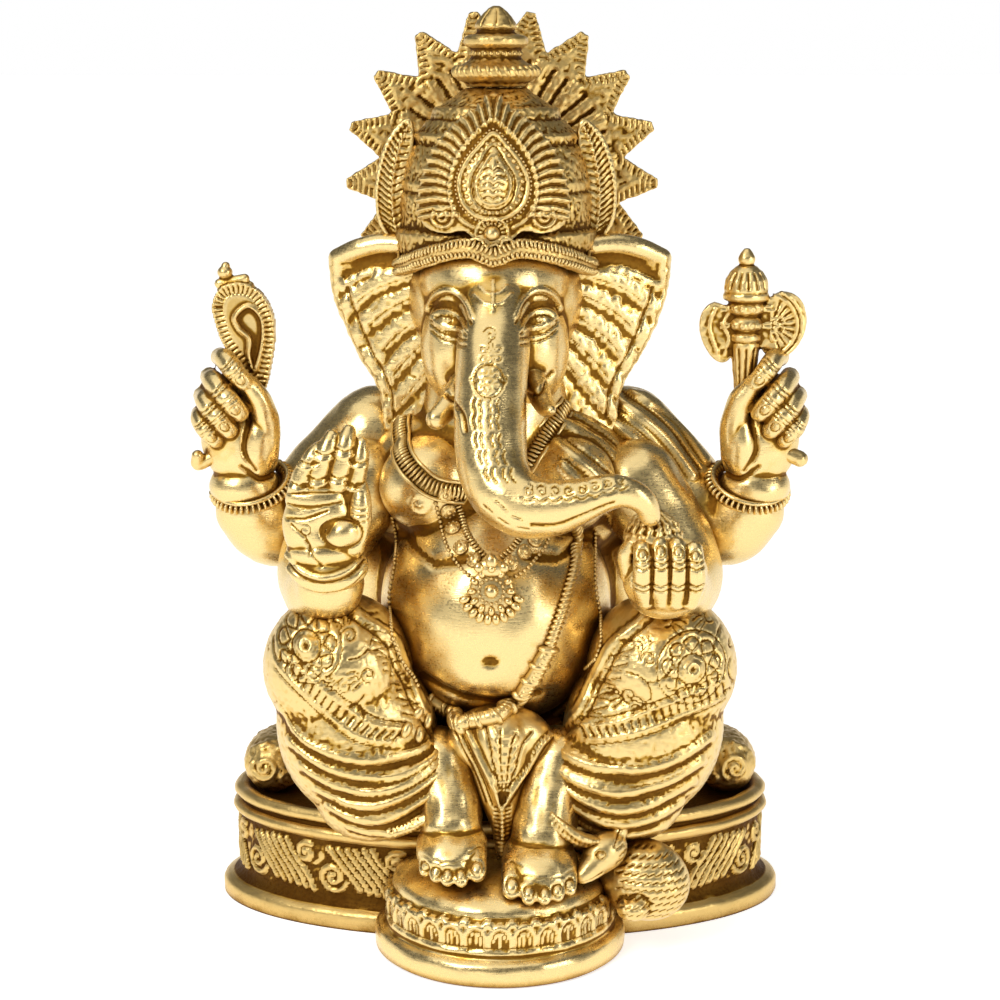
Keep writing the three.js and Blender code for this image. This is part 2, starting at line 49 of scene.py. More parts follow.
mm = 0.001
plinthLow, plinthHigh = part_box("plinth")
seatY = (plinthLow.y + plinthHigh.y) / 2 / mm  # middle of the plinth
figureY = seatY - 4  # the figure's own axis, 4 mm in front of it


def place(x, y, z):  # millimetres about the figure's axis, to metres in the frame
    return Vector((x, y + figureY, z)) * mm


def curve(points, steps=6, closed=False):  # a smooth line through a few points of any size
    p = np.array(points, float)
    if len(p) < 3:
        return np.array([p[0] + (p[-1] - p[0]) * t for t in np.linspace(0, 1, steps + 1)])
    if closed:
        p = np.vstack([p[-1], p, p[0], p[1]])
    else:
        p = np.vstack([2 * p[0] - p[1], p, 2 * p[-1] - p[-2]])
    line = []
    for a, b, c, d in zip(p[:-3], p[1:-2], p[2:-1], p[3:]):
        for t in np.arange(steps) / steps:
            line.append(0.5 * (2 * b + (c - a) * t + (2 * a - 5 * b + 4 * c - d) * t * t
                               + (3 * b - 3 * c + d - a) * t ** 3))
    return np.array(line + [p[-2]])


def ring(centre, radius, steps=20, squash=1.0):
    turns = np.linspace(0, 2 * math.pi, steps + 1)
    return np.column_stack([centre[0] + radius * np.cos(turns), centre[1] + radius * squash * np.sin(turns)])


def scroll(centre, start, end, turns, begin=0.0, hand=1, steps=26):  # a spiral, from one radius to another
    t = np.linspace(0, 1, steps)
    angle = math.radians(begin) + hand * turns * 2 * math.pi * t
    radius = start + (end - start) * t
    return np.column_stack([centre[0] + radius * np.cos(angle), centre[1] + radius * np.sin(angle)])


def rays(centre, near, far, count, begin=90.0, span=360.0):  # short strokes round a point
    strokes = []
    for angle in np.radians(begin + span * np.arange(count) / count):
        way = np.array([math.cos(angle), math.sin(angle)])
        strokes.append(np.array([centre + way * near, centre + way * far]))
    return strokes


def petals(centre, near, far, count, fat=0.5, begin=90.0, span=360.0):  # little loops round a point
    strokes = []
    for angle in np.radians(begin + span * np.arange(count) / count):
        out = np.array([math.cos(angle), math.sin(angle)])
        side = np.array([-out[1], out[0]])
        half = fat * near * math.pi * span / 360 / count * 1.6
        mid, tip = centre + out * (near * 0.4 + far * 0.6), centre + out * far
        foot = centre + out * near
        strokes.append(curve([foot, mid + side * half, tip, mid - side * half, foot], 4))
    return strokes


def shifted(stroke, dx, dz):
    return np.asarray(stroke, float) + (dx, dz)


def beside(line, gap):  # a line's neighbour, at a distance to its left
    line = np.asarray(line, float)
    along = np.gradient(line, axis=0)
    along /= np.maximum(np.linalg.norm(along, axis=1), 1e-9)[:, None]
    return line + np.column_stack([-along[:, 1], along[:, 0]]) * gap


def rungs(first, second, gap, lean=0.0):  # short strokes between two lines, like a ladder's
    a, _ = evenly(first, gap)
    share = np.linspace(0, 1, len(a))
    b, _ = evenly(second, gap)
    spots = np.linspace(0, 1, len(b))
    ends = np.column_stack([np.interp(np.clip(share + lean, 0, 1), spots, b[:, k]) for k in range(2)])
    return [np.array([p, q]) for p, q in zip(a, ends)]


def evenly(line, gap):  # points at equal spacing along a line, with the line's direction at each
    line = np.asarray(line, float)
    steps = np.linalg.norm(np.diff(line, axis=0), axis=1)
    reached = np.concatenate([[0], np.cumsum(steps)])
    count = max(2, int(round(reached[-1] / gap)) + 1)
    wanted = np.linspace(0, reached[-1], count)
    spots = np.column_stack([np.interp(wanted, reached, line[:, k]) for k in range(line.shape[1])])
    along = np.gradient(spots, axis=0)
    return spots, along / np.maximum(np.linalg.norm(along, axis=1), 1e-9)[:, None]


def distanceTo(points, stroke, reach):  # from each point to a line, where it is within reach
    stroke = np.asarray(stroke, float)
    best = np.full(len(points), np.inf)
    near = np.flatnonzero(np.all((points > stroke.min(0) - reach) & (points < stroke.max(0) + reach), axis=1))
    if not len(near):
        return best
    p, d = points[near], np.full(len(near), np.inf)
    for a, b in zip(stroke[:-1], stroke[1:]):
        ab = b - a
        t = np.clip(((p - a) @ ab) / max(ab @ ab, 1e-12), 0, 1)
        d = np.minimum(d, np.linalg.norm(p - a - t[:, None] * ab, axis=1))
    best[near] = d
    return best


def smoothStep(low, high, value):
    t = np.clip((value - low) / (high - low), 0, 1)
    return t * t * (3 - 2 * t)


def turnOf(turn):  # degrees about X, then Y, then Z
    return Matrix.Rotation(math.radians(turn[2]), 4, "Z") @ Matrix.Rotation(math.radians(turn[1]), 4, "Y") \
        @ Matrix.Rotation(math.radians(turn[0]), 4, "X")


def addBall(bm, centre, radii, turn=(0, 0, 0), detail=4):
    size = Matrix.Diagonal((*[r * mm for r in radii], 1))
    bmesh.ops.create_icosphere(bm, subdivisions=detail, radius=1,
                               matrix=Matrix.Translation(place(*centre)) @ turnOf(turn) @ size)


def addLimb(bm, stations, gap=0.3):  # a row of close balls, which the remesh joins into one form
    line = curve(stations, 6)
    spots, _ = evenly(line, max(0.35, line[:, 3].min() * gap))
    for x, y, z, r in spots:
        addBall(bm, (x, y, z), (r, r, r), detail=3 if r > 4 else 2)


def addTube(bm, line, radius, closed=False, roundness=2):  # a round wire along a line
    path = bpy.data.curves.new("path", "CURVE")
    path.dimensions = "3D"
    path.bevel_depth = radius * mm
    path.bevel_resolution = roundness
    path.use_fill_caps = True
    spline = path.splines.new("POLY")
    spline.points.add(len(line) - 1)
    for point, at in zip(spline.points, line):
        point.co = (*place(*at[:3]), 1)
        point.radius = at[3] if len(at) > 3 else 1
    spline.use_cyclic_u = closed
    holder = bpy.data.objects.new("path", path)
    scene.collection.objects.link(holder)
    mesh = bpy.data.meshes.new_from_object(holder.evaluated_get(bpy.context.evaluated_depsgraph_get()))
    bm.from_mesh(mesh)
    bpy.data.objects.remove(holder)
    bpy.data.curves.remove(path)
    bpy.data.meshes.remove(mesh)


def addPlate(bm, outline, y, thickness):  # a flat plate facing the front, from its outline in x and z
    outline = np.asarray(outline, float)
    if np.allclose(outline[0], outline[-1]):
        outline = outline[:-1]
    rim = [bm.verts.new(place(x, y + thickness / 2, z)) for x, z in outline]
    face = bmesh.ops.contextual_create(bm, geom=rim)["faces"]
    grown = bmesh.ops.extrude_face_region(bm, geom=face)["geom"]
    raised = [part for part in grown if isinstance(part, bmesh.types.BMVert)]
    bmesh.ops.translate(bm, verts=raised, vec=(0, -thickness * mm, 0))


def addTurned(bm, profile, centre, depth=1.0, steps=96):  # turned about an upright axis, before anything else
    dots = [bm.verts.new(place(centre[0] + r, centre[1], z)) for r, z in profile]
    rim = [bm.edges.new(pair) for pair in zip(dots[:-1], dots[1:])]
    bmesh.ops.spin(bm, geom=dots + rim, cent=place(*centre, 0), axis=(0, 0, 1), dvec=(0, 0, 0),
                   angle=2 * math.pi, steps=steps, use_merge=True, use_duplicate=False)
    bmesh.ops.remove_doubles(bm, verts=list(bm.verts), dist=1e-7)
    if depth != 1:
        middle = Matrix.Translation(-place(*centre, 0))
        bmesh.ops.scale(bm, vec=(1, depth, 1), space=middle, verts=list(bm.verts))
    bmesh.ops.recalc_face_normals(bm, faces=list(bm.faces))

def stud(bm, at, radii, along=(1, 0, 0), up=(0, -1, 0), tilt=0.0, detail=1):  # radii along, across and up
    up = Vector(up).normalized()
    along = Vector(along) - Vector(along).dot(up) * up
    along = along.normalized() if along.length > 1e-6 else up.orthogonal().normalized()
    along = Matrix.Rotation(math.radians(tilt), 3, up) @ along
    across = up.cross(along)
    turn = Matrix((along, across, up)).transposed().to_4x4()
    size = Matrix.Diagonal((*[r * mm for r in radii], 1))
    bmesh.ops.create_icosphere(bm, subdivisions=detail, radius=1,
                               matrix=Matrix.Translation(place(*at)) @ turn @ size)


def addRow(bm, line, ups, gap, radii, tilt=0.0, detail=1, taper=None):  # studs in a row along a line
    both = np.hstack([np.asarray(line, float), np.asarray(ups, float)])
    steps = np.linalg.norm(np.diff(both[:, :3], axis=0), axis=1)
    reached = np.concatenate([[0], np.cumsum(steps)])
    count = max(2, int(round(reached[-1] / gap)) + 1)
    wanted = np.linspace(0, reached[-1], count)
    spots = np.column_stack([np.interp(wanted, reached, both[:, k]) for k in range(6)])
    along = np.gradient(spots[:, :3], axis=0)
    for index, (spot, way) in enumerate(zip(spots, along)):
        size = taper(index / (count - 1)) if taper else 1
        stud(bm, spot[:3], [r * size for r in radii], way, spot[3:], tilt, detail)


def linked(name, bm):
    mesh = bpy.data.meshes.new(name)
    bm.to_mesh(mesh)
    bm.free()
    for face in mesh.polygons:
        face.use_smooth = True
    piece = bpy.data.objects.new(name, mesh)
    scene.collection.objects.link(piece)
    return piece


def remade(piece, voxel, soften):  # one even skin over everything in the mesh
    remesh = piece.modifiers.new("skin", "REMESH")
    remesh.mode = "VOXEL"
    remesh.voxel_size = voxel * mm
    remesh.use_smooth_shade = True
    if soften:
        smooth = piece.modifiers.new("soften", "SMOOTH")
        smooth.iterations = soften
        smooth.factor = 0.5
    mesh = bpy.data.meshes.new_from_object(piece.evaluated_get(bpy.context.evaluated_depsgraph_get()))
    piece.modifiers.clear()
    piece.data = mesh
    for face in mesh.polygons:
        face.use_smooth = True


class Surface:  # the outside of some pieces, to lay ornaments on
    def __init__(self, *pieces):
        bm = bmesh.new()
        for piece in pieces:
            bm.from_mesh(piece.data)
        self.tree = BVHTree.FromBMesh(bm)
        bm.free()

    def front(self, line, lift=0.0, flat=0.0):  # drops x, z points on the front; gives places, facings
        spots, ups = [], []
        for x, z in line:
            hit, up, _, _ = self.tree.ray_cast(place(x, -120, z), Vector((0, 1, 0)))
            if hit is None:
                hit, up, _, _ = self.tree.find_nearest(place(x, -30, z))
            up = (up.normalized() * (1 - flat) + Vector((0, -1, 0)) * flat).normalized()
            spots.append(np.array(hit) / mm - (0, figureY, 0) + np.array(up) * lift)
            ups.append(up)
        return np.array(spots), np.array(ups)

    def near(self, line, lift=0.0):  # moves x, y, z points to the nearest place on the outside
        spots, ups = [], []
        for at in line:
            hit, up, _, _ = self.tree.find_nearest(place(*at))
            spots.append(np.array(hit) / mm - (0, figureY, 0) + np.array(up) * lift)
            ups.append(up.normalized())
        return np.array(spots), np.array(ups)


class Clay:  # a piece's points, in millimetres about the figure's axis, and the tools that shape them
    def __init__(self, piece):
        self.mesh = piece.data
        flat = np.empty(len(self.mesh.vertices) * 3)
        self.mesh.vertices.foreach_get("co", flat)
        self.at = flat.reshape(-1, 3) / mm - (0, figureY, 0)
        self.settle()

    def settle(self):  # writes the points back and reads the new normals
        self.mesh.vertices.foreach_set("co", ((self.at + (0, figureY, 0)) * mm).ravel())
        self.mesh.update()
        flat = np.empty(len(self.mesh.vertices) * 3)
        self.mesh.vertex_normals.foreach_get("vector", flat)
        self.facing = flat.reshape(-1, 3)

    def push(self, amount):
        self.at += self.facing * np.broadcast_to(amount, len(self.at))[:, None]

    def front(self, low=0.1, high=0.4):  # how much each point faces the front
        return smoothStep(low, high, -self.facing[:, 1])

    def seen(self):  # the points as they look from the front
        return self.at[:, [0, 2]]

    def around(self, cx, cy, radius):  # how far round an upright axis each point is, and its height
        x, y, z = self.at.T
        return np.column_stack([np.arctan2(x - cx, -(y - cy)) * radius, z])

    def lines(self, strokes, width, height, where=None, space=None, flat=0.0):  # raised, or cut if height < 0
        if space is None:
            space = self.seen() if len(strokes[0][0]) == 2 else self.at
        d = np.full(len(self.at), np.inf)
        for stroke in strokes:
            d = np.minimum(d, distanceTo(space, stroke, width))
        share = np.clip((np.minimum(d / width, 1) - flat) / (1 - flat), 0, 1)
        rise = height * np.where(d < width, 0.5 + 0.5 * np.cos(np.pi * share), 0)
        if where is None and space.shape[1] == 2:
            where = self.front()
        self.push(rise if where is None else rise * where)

    def lump(self, centre, radii, height, where=None):  # a soft swelling, or a dent if height < 0
        d = np.linalg.norm((self.at - centre) / radii, axis=1)
        rise = height * np.exp(-d * d * 2)
        self.push(rise if where is None else rise * where)

    def inside(self, outline, edge=0.6, space=None):  # how far in a closed outline each point lies, 0 to 1
        space = self.seen() if space is None else space
        outline = np.asarray(outline, float)
        x, z = space.T
        within = np.zeros(len(space), bool)
        for (ax, az), (bx, bz) in zip(outline, np.roll(outline, -1, axis=0)):
            crosses = (az > z) != (bz > z)
            within ^= crosses & (x < (bx - ax) * (z - az) / (bz - az if bz != az else 1e-9) + ax)
        closed = np.vstack([outline, outline[:1]])
        d = distanceTo(space, closed, edge)
        return np.where(within, np.minimum(d / edge, 1), 0)

    def grain(self, size, height, seed=0, where=None):  # uneven cast skin
        lift = np.array([noise.noise(Vector(p / size) + Vector((seed, seed, seed))) for p in self.at])
        self.push(height * (lift if where is None else lift * where))

    def finish(self, scale=1.6):  # keeps how hollow each point is, for the patina
        self.settle()
        edges = np.empty(len(self.mesh.edges) * 2, np.int64)
        self.mesh.edges.foreach_get("vertices", edges)
        a, b = edges.reshape(-1, 2).T
        count = len(self.at)
        share = np.maximum(np.bincount(a, minlength=count) + np.bincount(b, minlength=count), 1)
        soft = self.at.copy()
        for _ in range(12):
            sums = [np.bincount(a, soft[b, k], count) + np.bincount(b, soft[a, k], count) for k in range(3)]
            soft = np.column_stack(sums) / share[:, None]
        hollow = np.einsum("ij,ij->i", soft - self.at, self.facing) / scale * 10
        layer = self.mesh.attributes.new("cavity", "FLOAT", "POINT")
        layer.data.foreach_set("value", np.clip(0.5 + hollow, 0, 1).astype(np.float32))


class Wire:  # a socket, so that shader maths reads as ordinary maths
    def __init__(self, tree, socket=None):
        self.tree, self.socket = tree, socket

    def node(self, kind, settings=None, inputs=None, out=0):
        made = self.tree.nodes.new(kind)
        for key, value in (settings or {}).items():
            setattr(made, key, value)
        for key, value in (inputs or {}).items():
            if isinstance(value, Wire):
                self.tree.links.new(value.socket, made.inputs[key])
            else:
                made.inputs[key].default_value = value
        return Wire(self.tree, made.outputs[out])

    def maths(self, operation, a, b):
        return self.node("ShaderNodeMath", {"operation": operation}, {0: a, 1: b})

    def __add__(self, other):
        return self.maths("ADD", self, other)

    def __rsub__(self, other):
        return self.maths("SUBTRACT", other, self)

    def __mul__(self, other):
        return self.maths("MULTIPLY", self, other)

    __radd__, __rmul__ = __add__, __mul__

    def spread(self, low, high):  # low becomes 0 and high becomes 1
        return self.node("ShaderNodeMapRange", {"interpolation_type": "SMOOTHSTEP"},
                         {"Value": self, "From Min": low, "From Max": high})

    def blend(self, first, second):  # self is the share of the second colour
        return self.node("ShaderNodeMix", {"data_type": "RGBA"}, {0: self, 6: first, 7: second}, 2)


brassFinishes = {  # worn metal, the metal between, shallow hollows and deep ones; the amber and deep hollow colours are part patina, part painted shade
    "polished": {
        "light": (0.86, 0.65, 0.29, 1), "warm": (0.74, 0.48, 0.13, 1), "amber": (0.58, 0.33, 0.05, 1),
        "deep": (0.20, 0.085, 0.009, 1), "shine": 0.24, "dull": 0.5, "grain": 0.35, "age": 0.35},
    "chased": {
        "light": (0.84, 0.62, 0.26, 1), "warm": (0.70, 0.44, 0.11, 1), "amber": (0.52, 0.29, 0.042, 1),
        "deep": (0.17, 0.07, 0.008, 1), "shine": 0.28, "dull": 0.55, "grain": 0.6, "age": 0.5},
    "antique": {
        "light": (0.76, 0.53, 0.19, 1), "warm": (0.58, 0.34, 0.07, 1), "amber": (0.40, 0.21, 0.028, 1),
        "deep": (0.12, 0.048, 0.006, 1), "shine": 0.32, "dull": 0.6, "grain": 0.9, "age": 0.75},
}

def castBrass(name, finish):
    material = bpy.data.materials.new(name)
    material.use_nodes = True
    tree = material.node_tree
    shader = tree.nodes["Principled BSDF"]
    wire = Wire(tree)
    spot = wire.node("ShaderNodeTexCoord", out="Object")
    cavity = wire.node("ShaderNodeAttribute", {"attribute_name": "cavity"}, out="Fac")
    # the ambient occlusion darkens the colour where parts crowd together and between pieces: painted shade
    occlusionShade = 1 - wire.node("ShaderNodeAmbientOcclusion", {"samples": 6}, {"Distance": 0.006}, out="AO")
    clouds = wire.node("ShaderNodeTexNoise", inputs={"Vector": spot, "Scale": 110.0, "Detail": 4.0})
    skin = wire.node("ShaderNodeTexNoise", inputs={"Vector": spot, "Scale": 1400.0, "Detail": 2.0})
    pits = wire.node("ShaderNodeTexVoronoi", inputs={"Vector": spot, "Scale": 1000.0})
    drawn = wire.node("ShaderNodeMapping",
                      inputs={"Vector": spot, "Rotation": (0.3, 0.5, 0.2), "Scale": (1, 1, 9)})
    filed = wire.node("ShaderNodeTexNoise", inputs={"Vector": drawn, "Scale": 420.0, "Detail": 3.0})

    # hollows, occlusion and age darken the colour to amber, then dark brown: part patina in the hollows, part
    # painted shade from the occlusion
    patinaAndShade = (cavity.spread(0.5, 1.15) * 0.9 + occlusionShade.spread(0.15, 0.95) * 0.85
              + (clouds.spread(0.45, 0.75) + skin.spread(0.5, 0.75) * 0.4) * finish["age"] * 0.3).spread(0, 1)
    worn = (1 - cavity).spread(0.5, 0.8)
    body = (clouds.spread(0.3, 0.7) * (1 - worn)).blend(finish["light"], finish["warm"])
    shallow = patinaAndShade.spread(0, 0.5).blend(body, finish["amber"])
    colour = patinaAndShade.spread(0.45, 1.0).blend(shallow, finish["deep"])
    tree.links.new(colour.socket, shader.inputs["Base Color"])

    rough = (finish["shine"] + patinaAndShade * (finish["dull"] - finish["shine"])
             + skin.spread(0.3, 0.8) * 0.07 * (1 + finish["age"]) + filed.spread(0.4, 0.7) * 0.06)
    tree.links.new(rough.socket, shader.inputs["Roughness"])

    coarse = patinaAndShade * (1 - finish["grain"] * 0.5) + finish["grain"] * 0.4
    tooth = (skin + pits.spread(0, 0.7) * 0.5) * coarse + filed * 0.35
    bump = wire.node("ShaderNodeBump", inputs={"Height": tooth, "Strength": 0.6, "Distance": 0.00018})
    tree.links.new(bump.socket, shader.inputs["Normal"])
    shader.inputs["Metallic"].default_value = 1.0
    return material


brass = {kind: castBrass(kind + "Brass", finish) for kind, finish in brassFinishes.items()}
print("materials made")


def dress(piece, node, kind, replaces=True):  # brass on it, and it rides on the one body
    piece.data.materials.clear()
    piece.data.materials.append(brass[kind])
    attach(piece, "root")
    if replaces:
        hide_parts(node)


def cast(node, kind, shape, voxel=0.5, soften=10, carve=None):  # one casting, formed, softened and chased
    bm = bmesh.new()
    shape(bm)
    piece = linked(node + "Cast", bm)
    if voxel:
        remade(piece, voxel, soften)
    clay = Clay(piece)
    if carve:
        carve(clay)
    clay.finish()
    dress(piece, node, kind)
    print(node, len(piece.data.polygons))
    return piece


def applied(name, node, kind, shape):  # small ornaments soldered on a casting
    bm = bmesh.new()
    shape(bm)
    piece = linked(name, bm)
    dress(piece, node, kind, replaces=False)
    print(name, len(piece.data.polygons))

bothSides = ((-1, "right"), (1, "left"))

torsoSettings = {
    "belly": ((-1, -12, 80), (29, 31, 30)), "chest": ((0, -3, 110), (35, 21, 24)),
    "hips": ((0, 3, 44), (41, 27, 24)),
    "breasts": (((-17, -18, 112), (13, 11, 12)), ((16, -18, 112), (13, 11, 12))),
    "neck": [[-1, -3, 118, 21], [-1, -3, 132, 19]],
    "flanks": ((-1, 3, 88), (39.5, 15, 24)), "navel": (-2.2, -43, 73),
    "folds": [[(-24, 99), (-16, 95.5), (-8, 97.5)], [(6, 98), (14, 96.5), (22, 99)],
              [(-19, 67), (-9, 62.6), (0, 61.6), (9, 63.5)]],
    "shawl": [[(15, 127), (24, 122), (33, 113), (40, 104)], [(18, 131), (28, 126), (37, 118), (44, 110)],
              [(14, 122.5), (22, 117), (30, 109), (36, 100)], [(15, 118), (21, 112.5), (27, 105), (31, 97)]],
}


def torsoShape(bm):
    settings = torsoSettings
    forms = [settings[key] for key in ("belly", "chest", "hips", "flanks")]
    for centre, radii in (*forms, *settings["breasts"]):
        addBall(bm, centre, radii, detail=5)
    addLimb(bm, settings["neck"], 0.1)


def torsoCarve(clay):
    settings = torsoSettings
    clay.lines(settings["folds"], 2.2, -0.9)
    clay.lump(settings["navel"], (2.6, 4, 1.8), -1.7)
    clay.lump((-2.2, -42, 67), (11, 8, 5), 0.8)
    clay.lump((-19.4, -28, 108.9), (1.3, 2, 1.3), 1.2)
    clay.lines([ring((-19.4, 108.9), 2.3)], 0.7, 0.5)
    clay.settle()
    clay.lines(settings["shawl"], 1.6, 0.9, flat=0.35)
    clay.lines([beside(curve(stroke), 2.2) for stroke in settings["shawl"]], 0.6, -0.5)
    clay.settle()
    clay.grain(7, 0.35, 2)


torso = cast("torso", "polished", torsoShape, 0.8, 30, torsoCarve)

legSettings = {
    "thigh": [[16, 4, 54, 17], [27, -10, 60, 17.5], [37, -24, 66, 17]],
    "knee": ((39.5, -30, 69), (18.4, 18, 18.4)),
    "calf": ((35, -30.5, 53), (19.6, 17.4, 23), (0, 14, 0)),
    "folds": ((28, -34, 41), (18, 13.4, 14), (0, 26, 0)),
    "sweeps": {  # gathered cloth over the calf, as ridges seen from the front
        -1: [[(-52.6, 61.4), (-48.6, 55.8), (-41.4, 52.6), (-32.6, 50.7), (-25.4, 50.9), (-18.2, 52.1),
              (-13.9, 54.7)],
             [(-50.2, 53.3), (-42.4, 49), (-32.6, 46.4), (-24.9, 46.4), (-17.2, 49.3), (-11.9, 53.2)],
             [(-47.6, 47.8), (-39.8, 43.8), (-31.8, 42.6), (-23.6, 44.2), (-16.4, 47.6), (-11.4, 51)],
             [(-43.8, 42), (-36.8, 39.4), (-29.8, 39.4), (-22, 42), (-14.6, 46), (-10.6, 49)],
             [(-40.9, 37.6), (-33.8, 35.2), (-27.5, 35.4), (-20.5, 38.8), (-12.6, 43.6), (-10, 46.6)],
             [(-36, 33), (-30, 31.4), (-24, 32), (-17, 35.6), (-11, 40.6), (-9, 44)]],
        1: [[(50.3, 54.4), (43, 51), (34.2, 48.5), (25.5, 48.3), (17.8, 49.7), (11.5, 51.7)],
            [(48.3, 48.7), (39.2, 44.4), (29.4, 42.6), (22.6, 43.4), (15.8, 45.4), (10.4, 48.4)],
            [(46.4, 43.4), (37.6, 39.6), (28.6, 38), (21, 39.6), (14.6, 43), (9.8, 46.4)],
            [(43.6, 37.6), (35.5, 34.8), (26.6, 33.6), (19.7, 36.2), (13.8, 41), (9.4, 44.6)],
            [(39.7, 32), (30.5, 30.4), (23.2, 31.2), (17.4, 34.2), (12.4, 38.6), (9, 42.6)]]},
    "hem": {-1: [[-8.6, -38, 45, 1.7], [-12, -42.6, 38.6, 1.8], [-18, -44.4, 34.6, 1.9],
                 [-26, -44, 31.6, 1.8]],
            1: [[7.6, -38.6, 44.6, 1.8], [9.6, -44, 38.8, 2], [13.4, -48.4, 35, 2.1],
                [19.4, -49.6, 31.6, 2.1],
                [23, -47, 30.4, 1.8]]},
    "bands": {  # chased borders round the shin
        -1: [[(-53, 72.6), (-46, 66.6), (-39.4, 60.4), (-33, 56.4), (-26, 54.6)],
             [(-52.4, 76), (-44.1, 70), (-37, 63.8), (-30.4, 59.4), (-22.6, 57)]],
        1: [[(54, 64.6), (46.7, 62.6), (38, 59.4), (29.3, 56.6), (20.7, 54.4)],
            [(53.4, 68.6), (44.6, 66.4), (36, 62.8), (27.6, 59.4), (19, 57.4)]]},
    "rosette": {-1: (-46.1, 77.8), 1: (45.6, 72.6)},
    "inner": {-1: [(-34.8, 84.8), (-25.8, 78.2), (-23, 71.7), (-18.8, 61.8), (-14, 53)],
              1: [(34.8, 84), (26.6, 77), (22.6, 68.7), (18.6, 60), (13, 53)]},
}


def legShape(side):
    def shape(bm):
        settings = legSettings
        addLimb(bm, [[side * x, *rest] for x, *rest in settings["thigh"]], 0.12)
        addBall(bm, (side * settings["knee"][0][0], *settings["knee"][0][1:]), settings["knee"][1], detail=5)
        for key in ("calf", "folds"):
            (x, y, z), radii, (_, turn, _) = settings[key]
            addBall(bm, (side * x, y, z), radii, (0, side * turn, 0), detail=5)
        addLimb(bm, settings["hem"][side])
    return shape


def legCarve(side):
    def carve(clay):
        settings = legSettings
        sweeps = [curve(stroke) for stroke in settings["sweeps"][side]]
        soft = clay.front(0.2, 0.6)
        clay.lines(sweeps, 2.2, 0.75, soft)
        clay.settle()
        clay.lines([shifted(stroke, 0, -2.1) for stroke in sweeps], 1.3, -0.32, soft)
        clay.lines([shifted(stroke, 0, 0.9) for stroke in sweeps], 0.4, -0.22, soft)
        clay.lines([shifted(stroke, 0, 2.4) for stroke in sweeps[1:]], 0.35, -0.18, soft)
        clay.settle()
        hem = curve(settings["inner"][side])
        clay.lines([hem], 1.1, 0.8, flat=0.3)
        clay.lines([shifted(hem, side * 2.2, 0)], 0.5, -0.45)
        low, high = [curve(stroke) for stroke in settings["bands"][side]]
        clay.lines([low, high], 0.7, 0.5)
        rung = rungs(low, high, 1.9)
        clay.lines([(a * 0.85 + b * 0.15, a * 0.15 + b * 0.85) for a, b in rung], 0.55, -0.45)
        over = beside(high, -side * 1.6)
        clay.lines([over], 0.45, -0.4)
        below = beside(low, side * 1.5)
        clay.lines([below], 0.4, -0.35)
        clay.settle()
        centre = np.array(settings["rosette"][side])
        clay.lines([ring(centre, 1.4)], 1.3, 0.7)
        clay.lines([ring(centre, 3.6, 28)], 0.5, -0.5)
        clay.lines(petals(centre, 4.2, 7.4, 9, 0.8), 0.55, -0.5)
        clay.lines([ring(centre, 8.6, 40)], 0.45, -0.4)
        clay.settle()
        leaves = []
        for dx, dz, start, hand in [(-9.6, -7.4, 0, 1), (9.4, -9, 180, -1), (0.5, -13.4, 90, 1),
                                    (-11, 3.4, 60, -1),
                                    (10.4, 2.4, 120, 1), (-5.4, 11.2, 200, 1), (6, 11.4, 340, -1),
                                    (15, -6.6, 200, 1), (-14.6, -1.4, 10, 1), (8.4, -17, 250, -1)]:
            heart = centre + (-side * dx, dz)
            way = math.radians(start)
            for lean in (-0.5, -0.2, 0.1, 0.4):  # a spray of narrow leaves about each curl
                out = np.array([math.cos(way + lean), math.sin(way + lean)])
                leaves.append(curve([heart + out * 2.4, heart + out * 3.8 + (hand * 0.5, 0.4),
                                     heart + out * 5]))
            leaves += [scroll(heart, 0.4, 2.0, 1.2, start, hand),
                       scroll(heart, 5.2, 5.6, 0.3, start + 150, hand, 12)]
        for step in range(7):
            foot = centre + (-side * (14 + step * 1.5), 4.6 - step * 3.6)
            leaves += [np.array([foot, foot + (-side * 3.6, -1.6)]),
                       np.array([foot + (0, 1.6), foot + (-side * 3.4, 1.2)])]
        keep = clay.front() * np.clip(1 - clay.inside(np.vstack([low, high[::-1]]), 0.4), 0, 1)
        above = (clay.at[:, 2] > np.interp(side * clay.at[:, 0], *byReach(low, side))).astype(float)
        clay.lines(leaves, 0.45, -0.42, keep * above)
        rail = curve(np.array(settings["hem"][side])[:, [0, 2]])
        clay.lines(rungs(beside(rail, 1.5), beside(rail, -1.5), 1.1, 0.04), 0.35, -0.35)
        clay.settle()
        clay.grain(1.1, 0.14, 5)
    return carve


def byReach(line, side):  # a line's heights against distance out, ready to look up
    order = np.argsort(side * line[:, 0])
    return side * line[order, 0], line[order, 1]


legs = [cast(word + "_leg", "chased", legShape(side), 0.5, 40, legCarve(side)) for side, word in bothSides]

footSettings = {
    -1: {"shin": [[-15, -33, 46, 8.6], [-12.6, -38.6, 38, 8.2], [-11.8, -43, 32.5, 7.6]],
         "instep": ((-11.6, -46, 28.6), (8.6, 10.5, 6), (18, 0, -6)),
         "toes": [(-5.4, -54.6, 25.8, 2.5), (-9.2, -56, 24.8, 2.0), (-12.4, -55.6, 24.7, 1.95),
                  (-15.2, -54.2, 25, 1.85),
                  (-17.9, -51.6, 25.6, 1.7)], "sole": 22.4},
    1: {"shin": [[14, -33, 46, 8.6], [11.6, -39, 37, 8.2], [10.4, -44, 30, 7.8]],
        "instep": ((9.6, -48, 25.4), (9.2, 11, 6), (18, 0, 6)),
        "toes": [(2.8, -57, 22.6, 2.7), (6.8, -58.8, 21.6, 2.2), (10.4, -58.8, 21.4, 2.1),
                 (13.6, -57.4, 21.6, 2.0),
                 (16.6, -55, 22.2, 1.85)], "sole": 18.4},
}


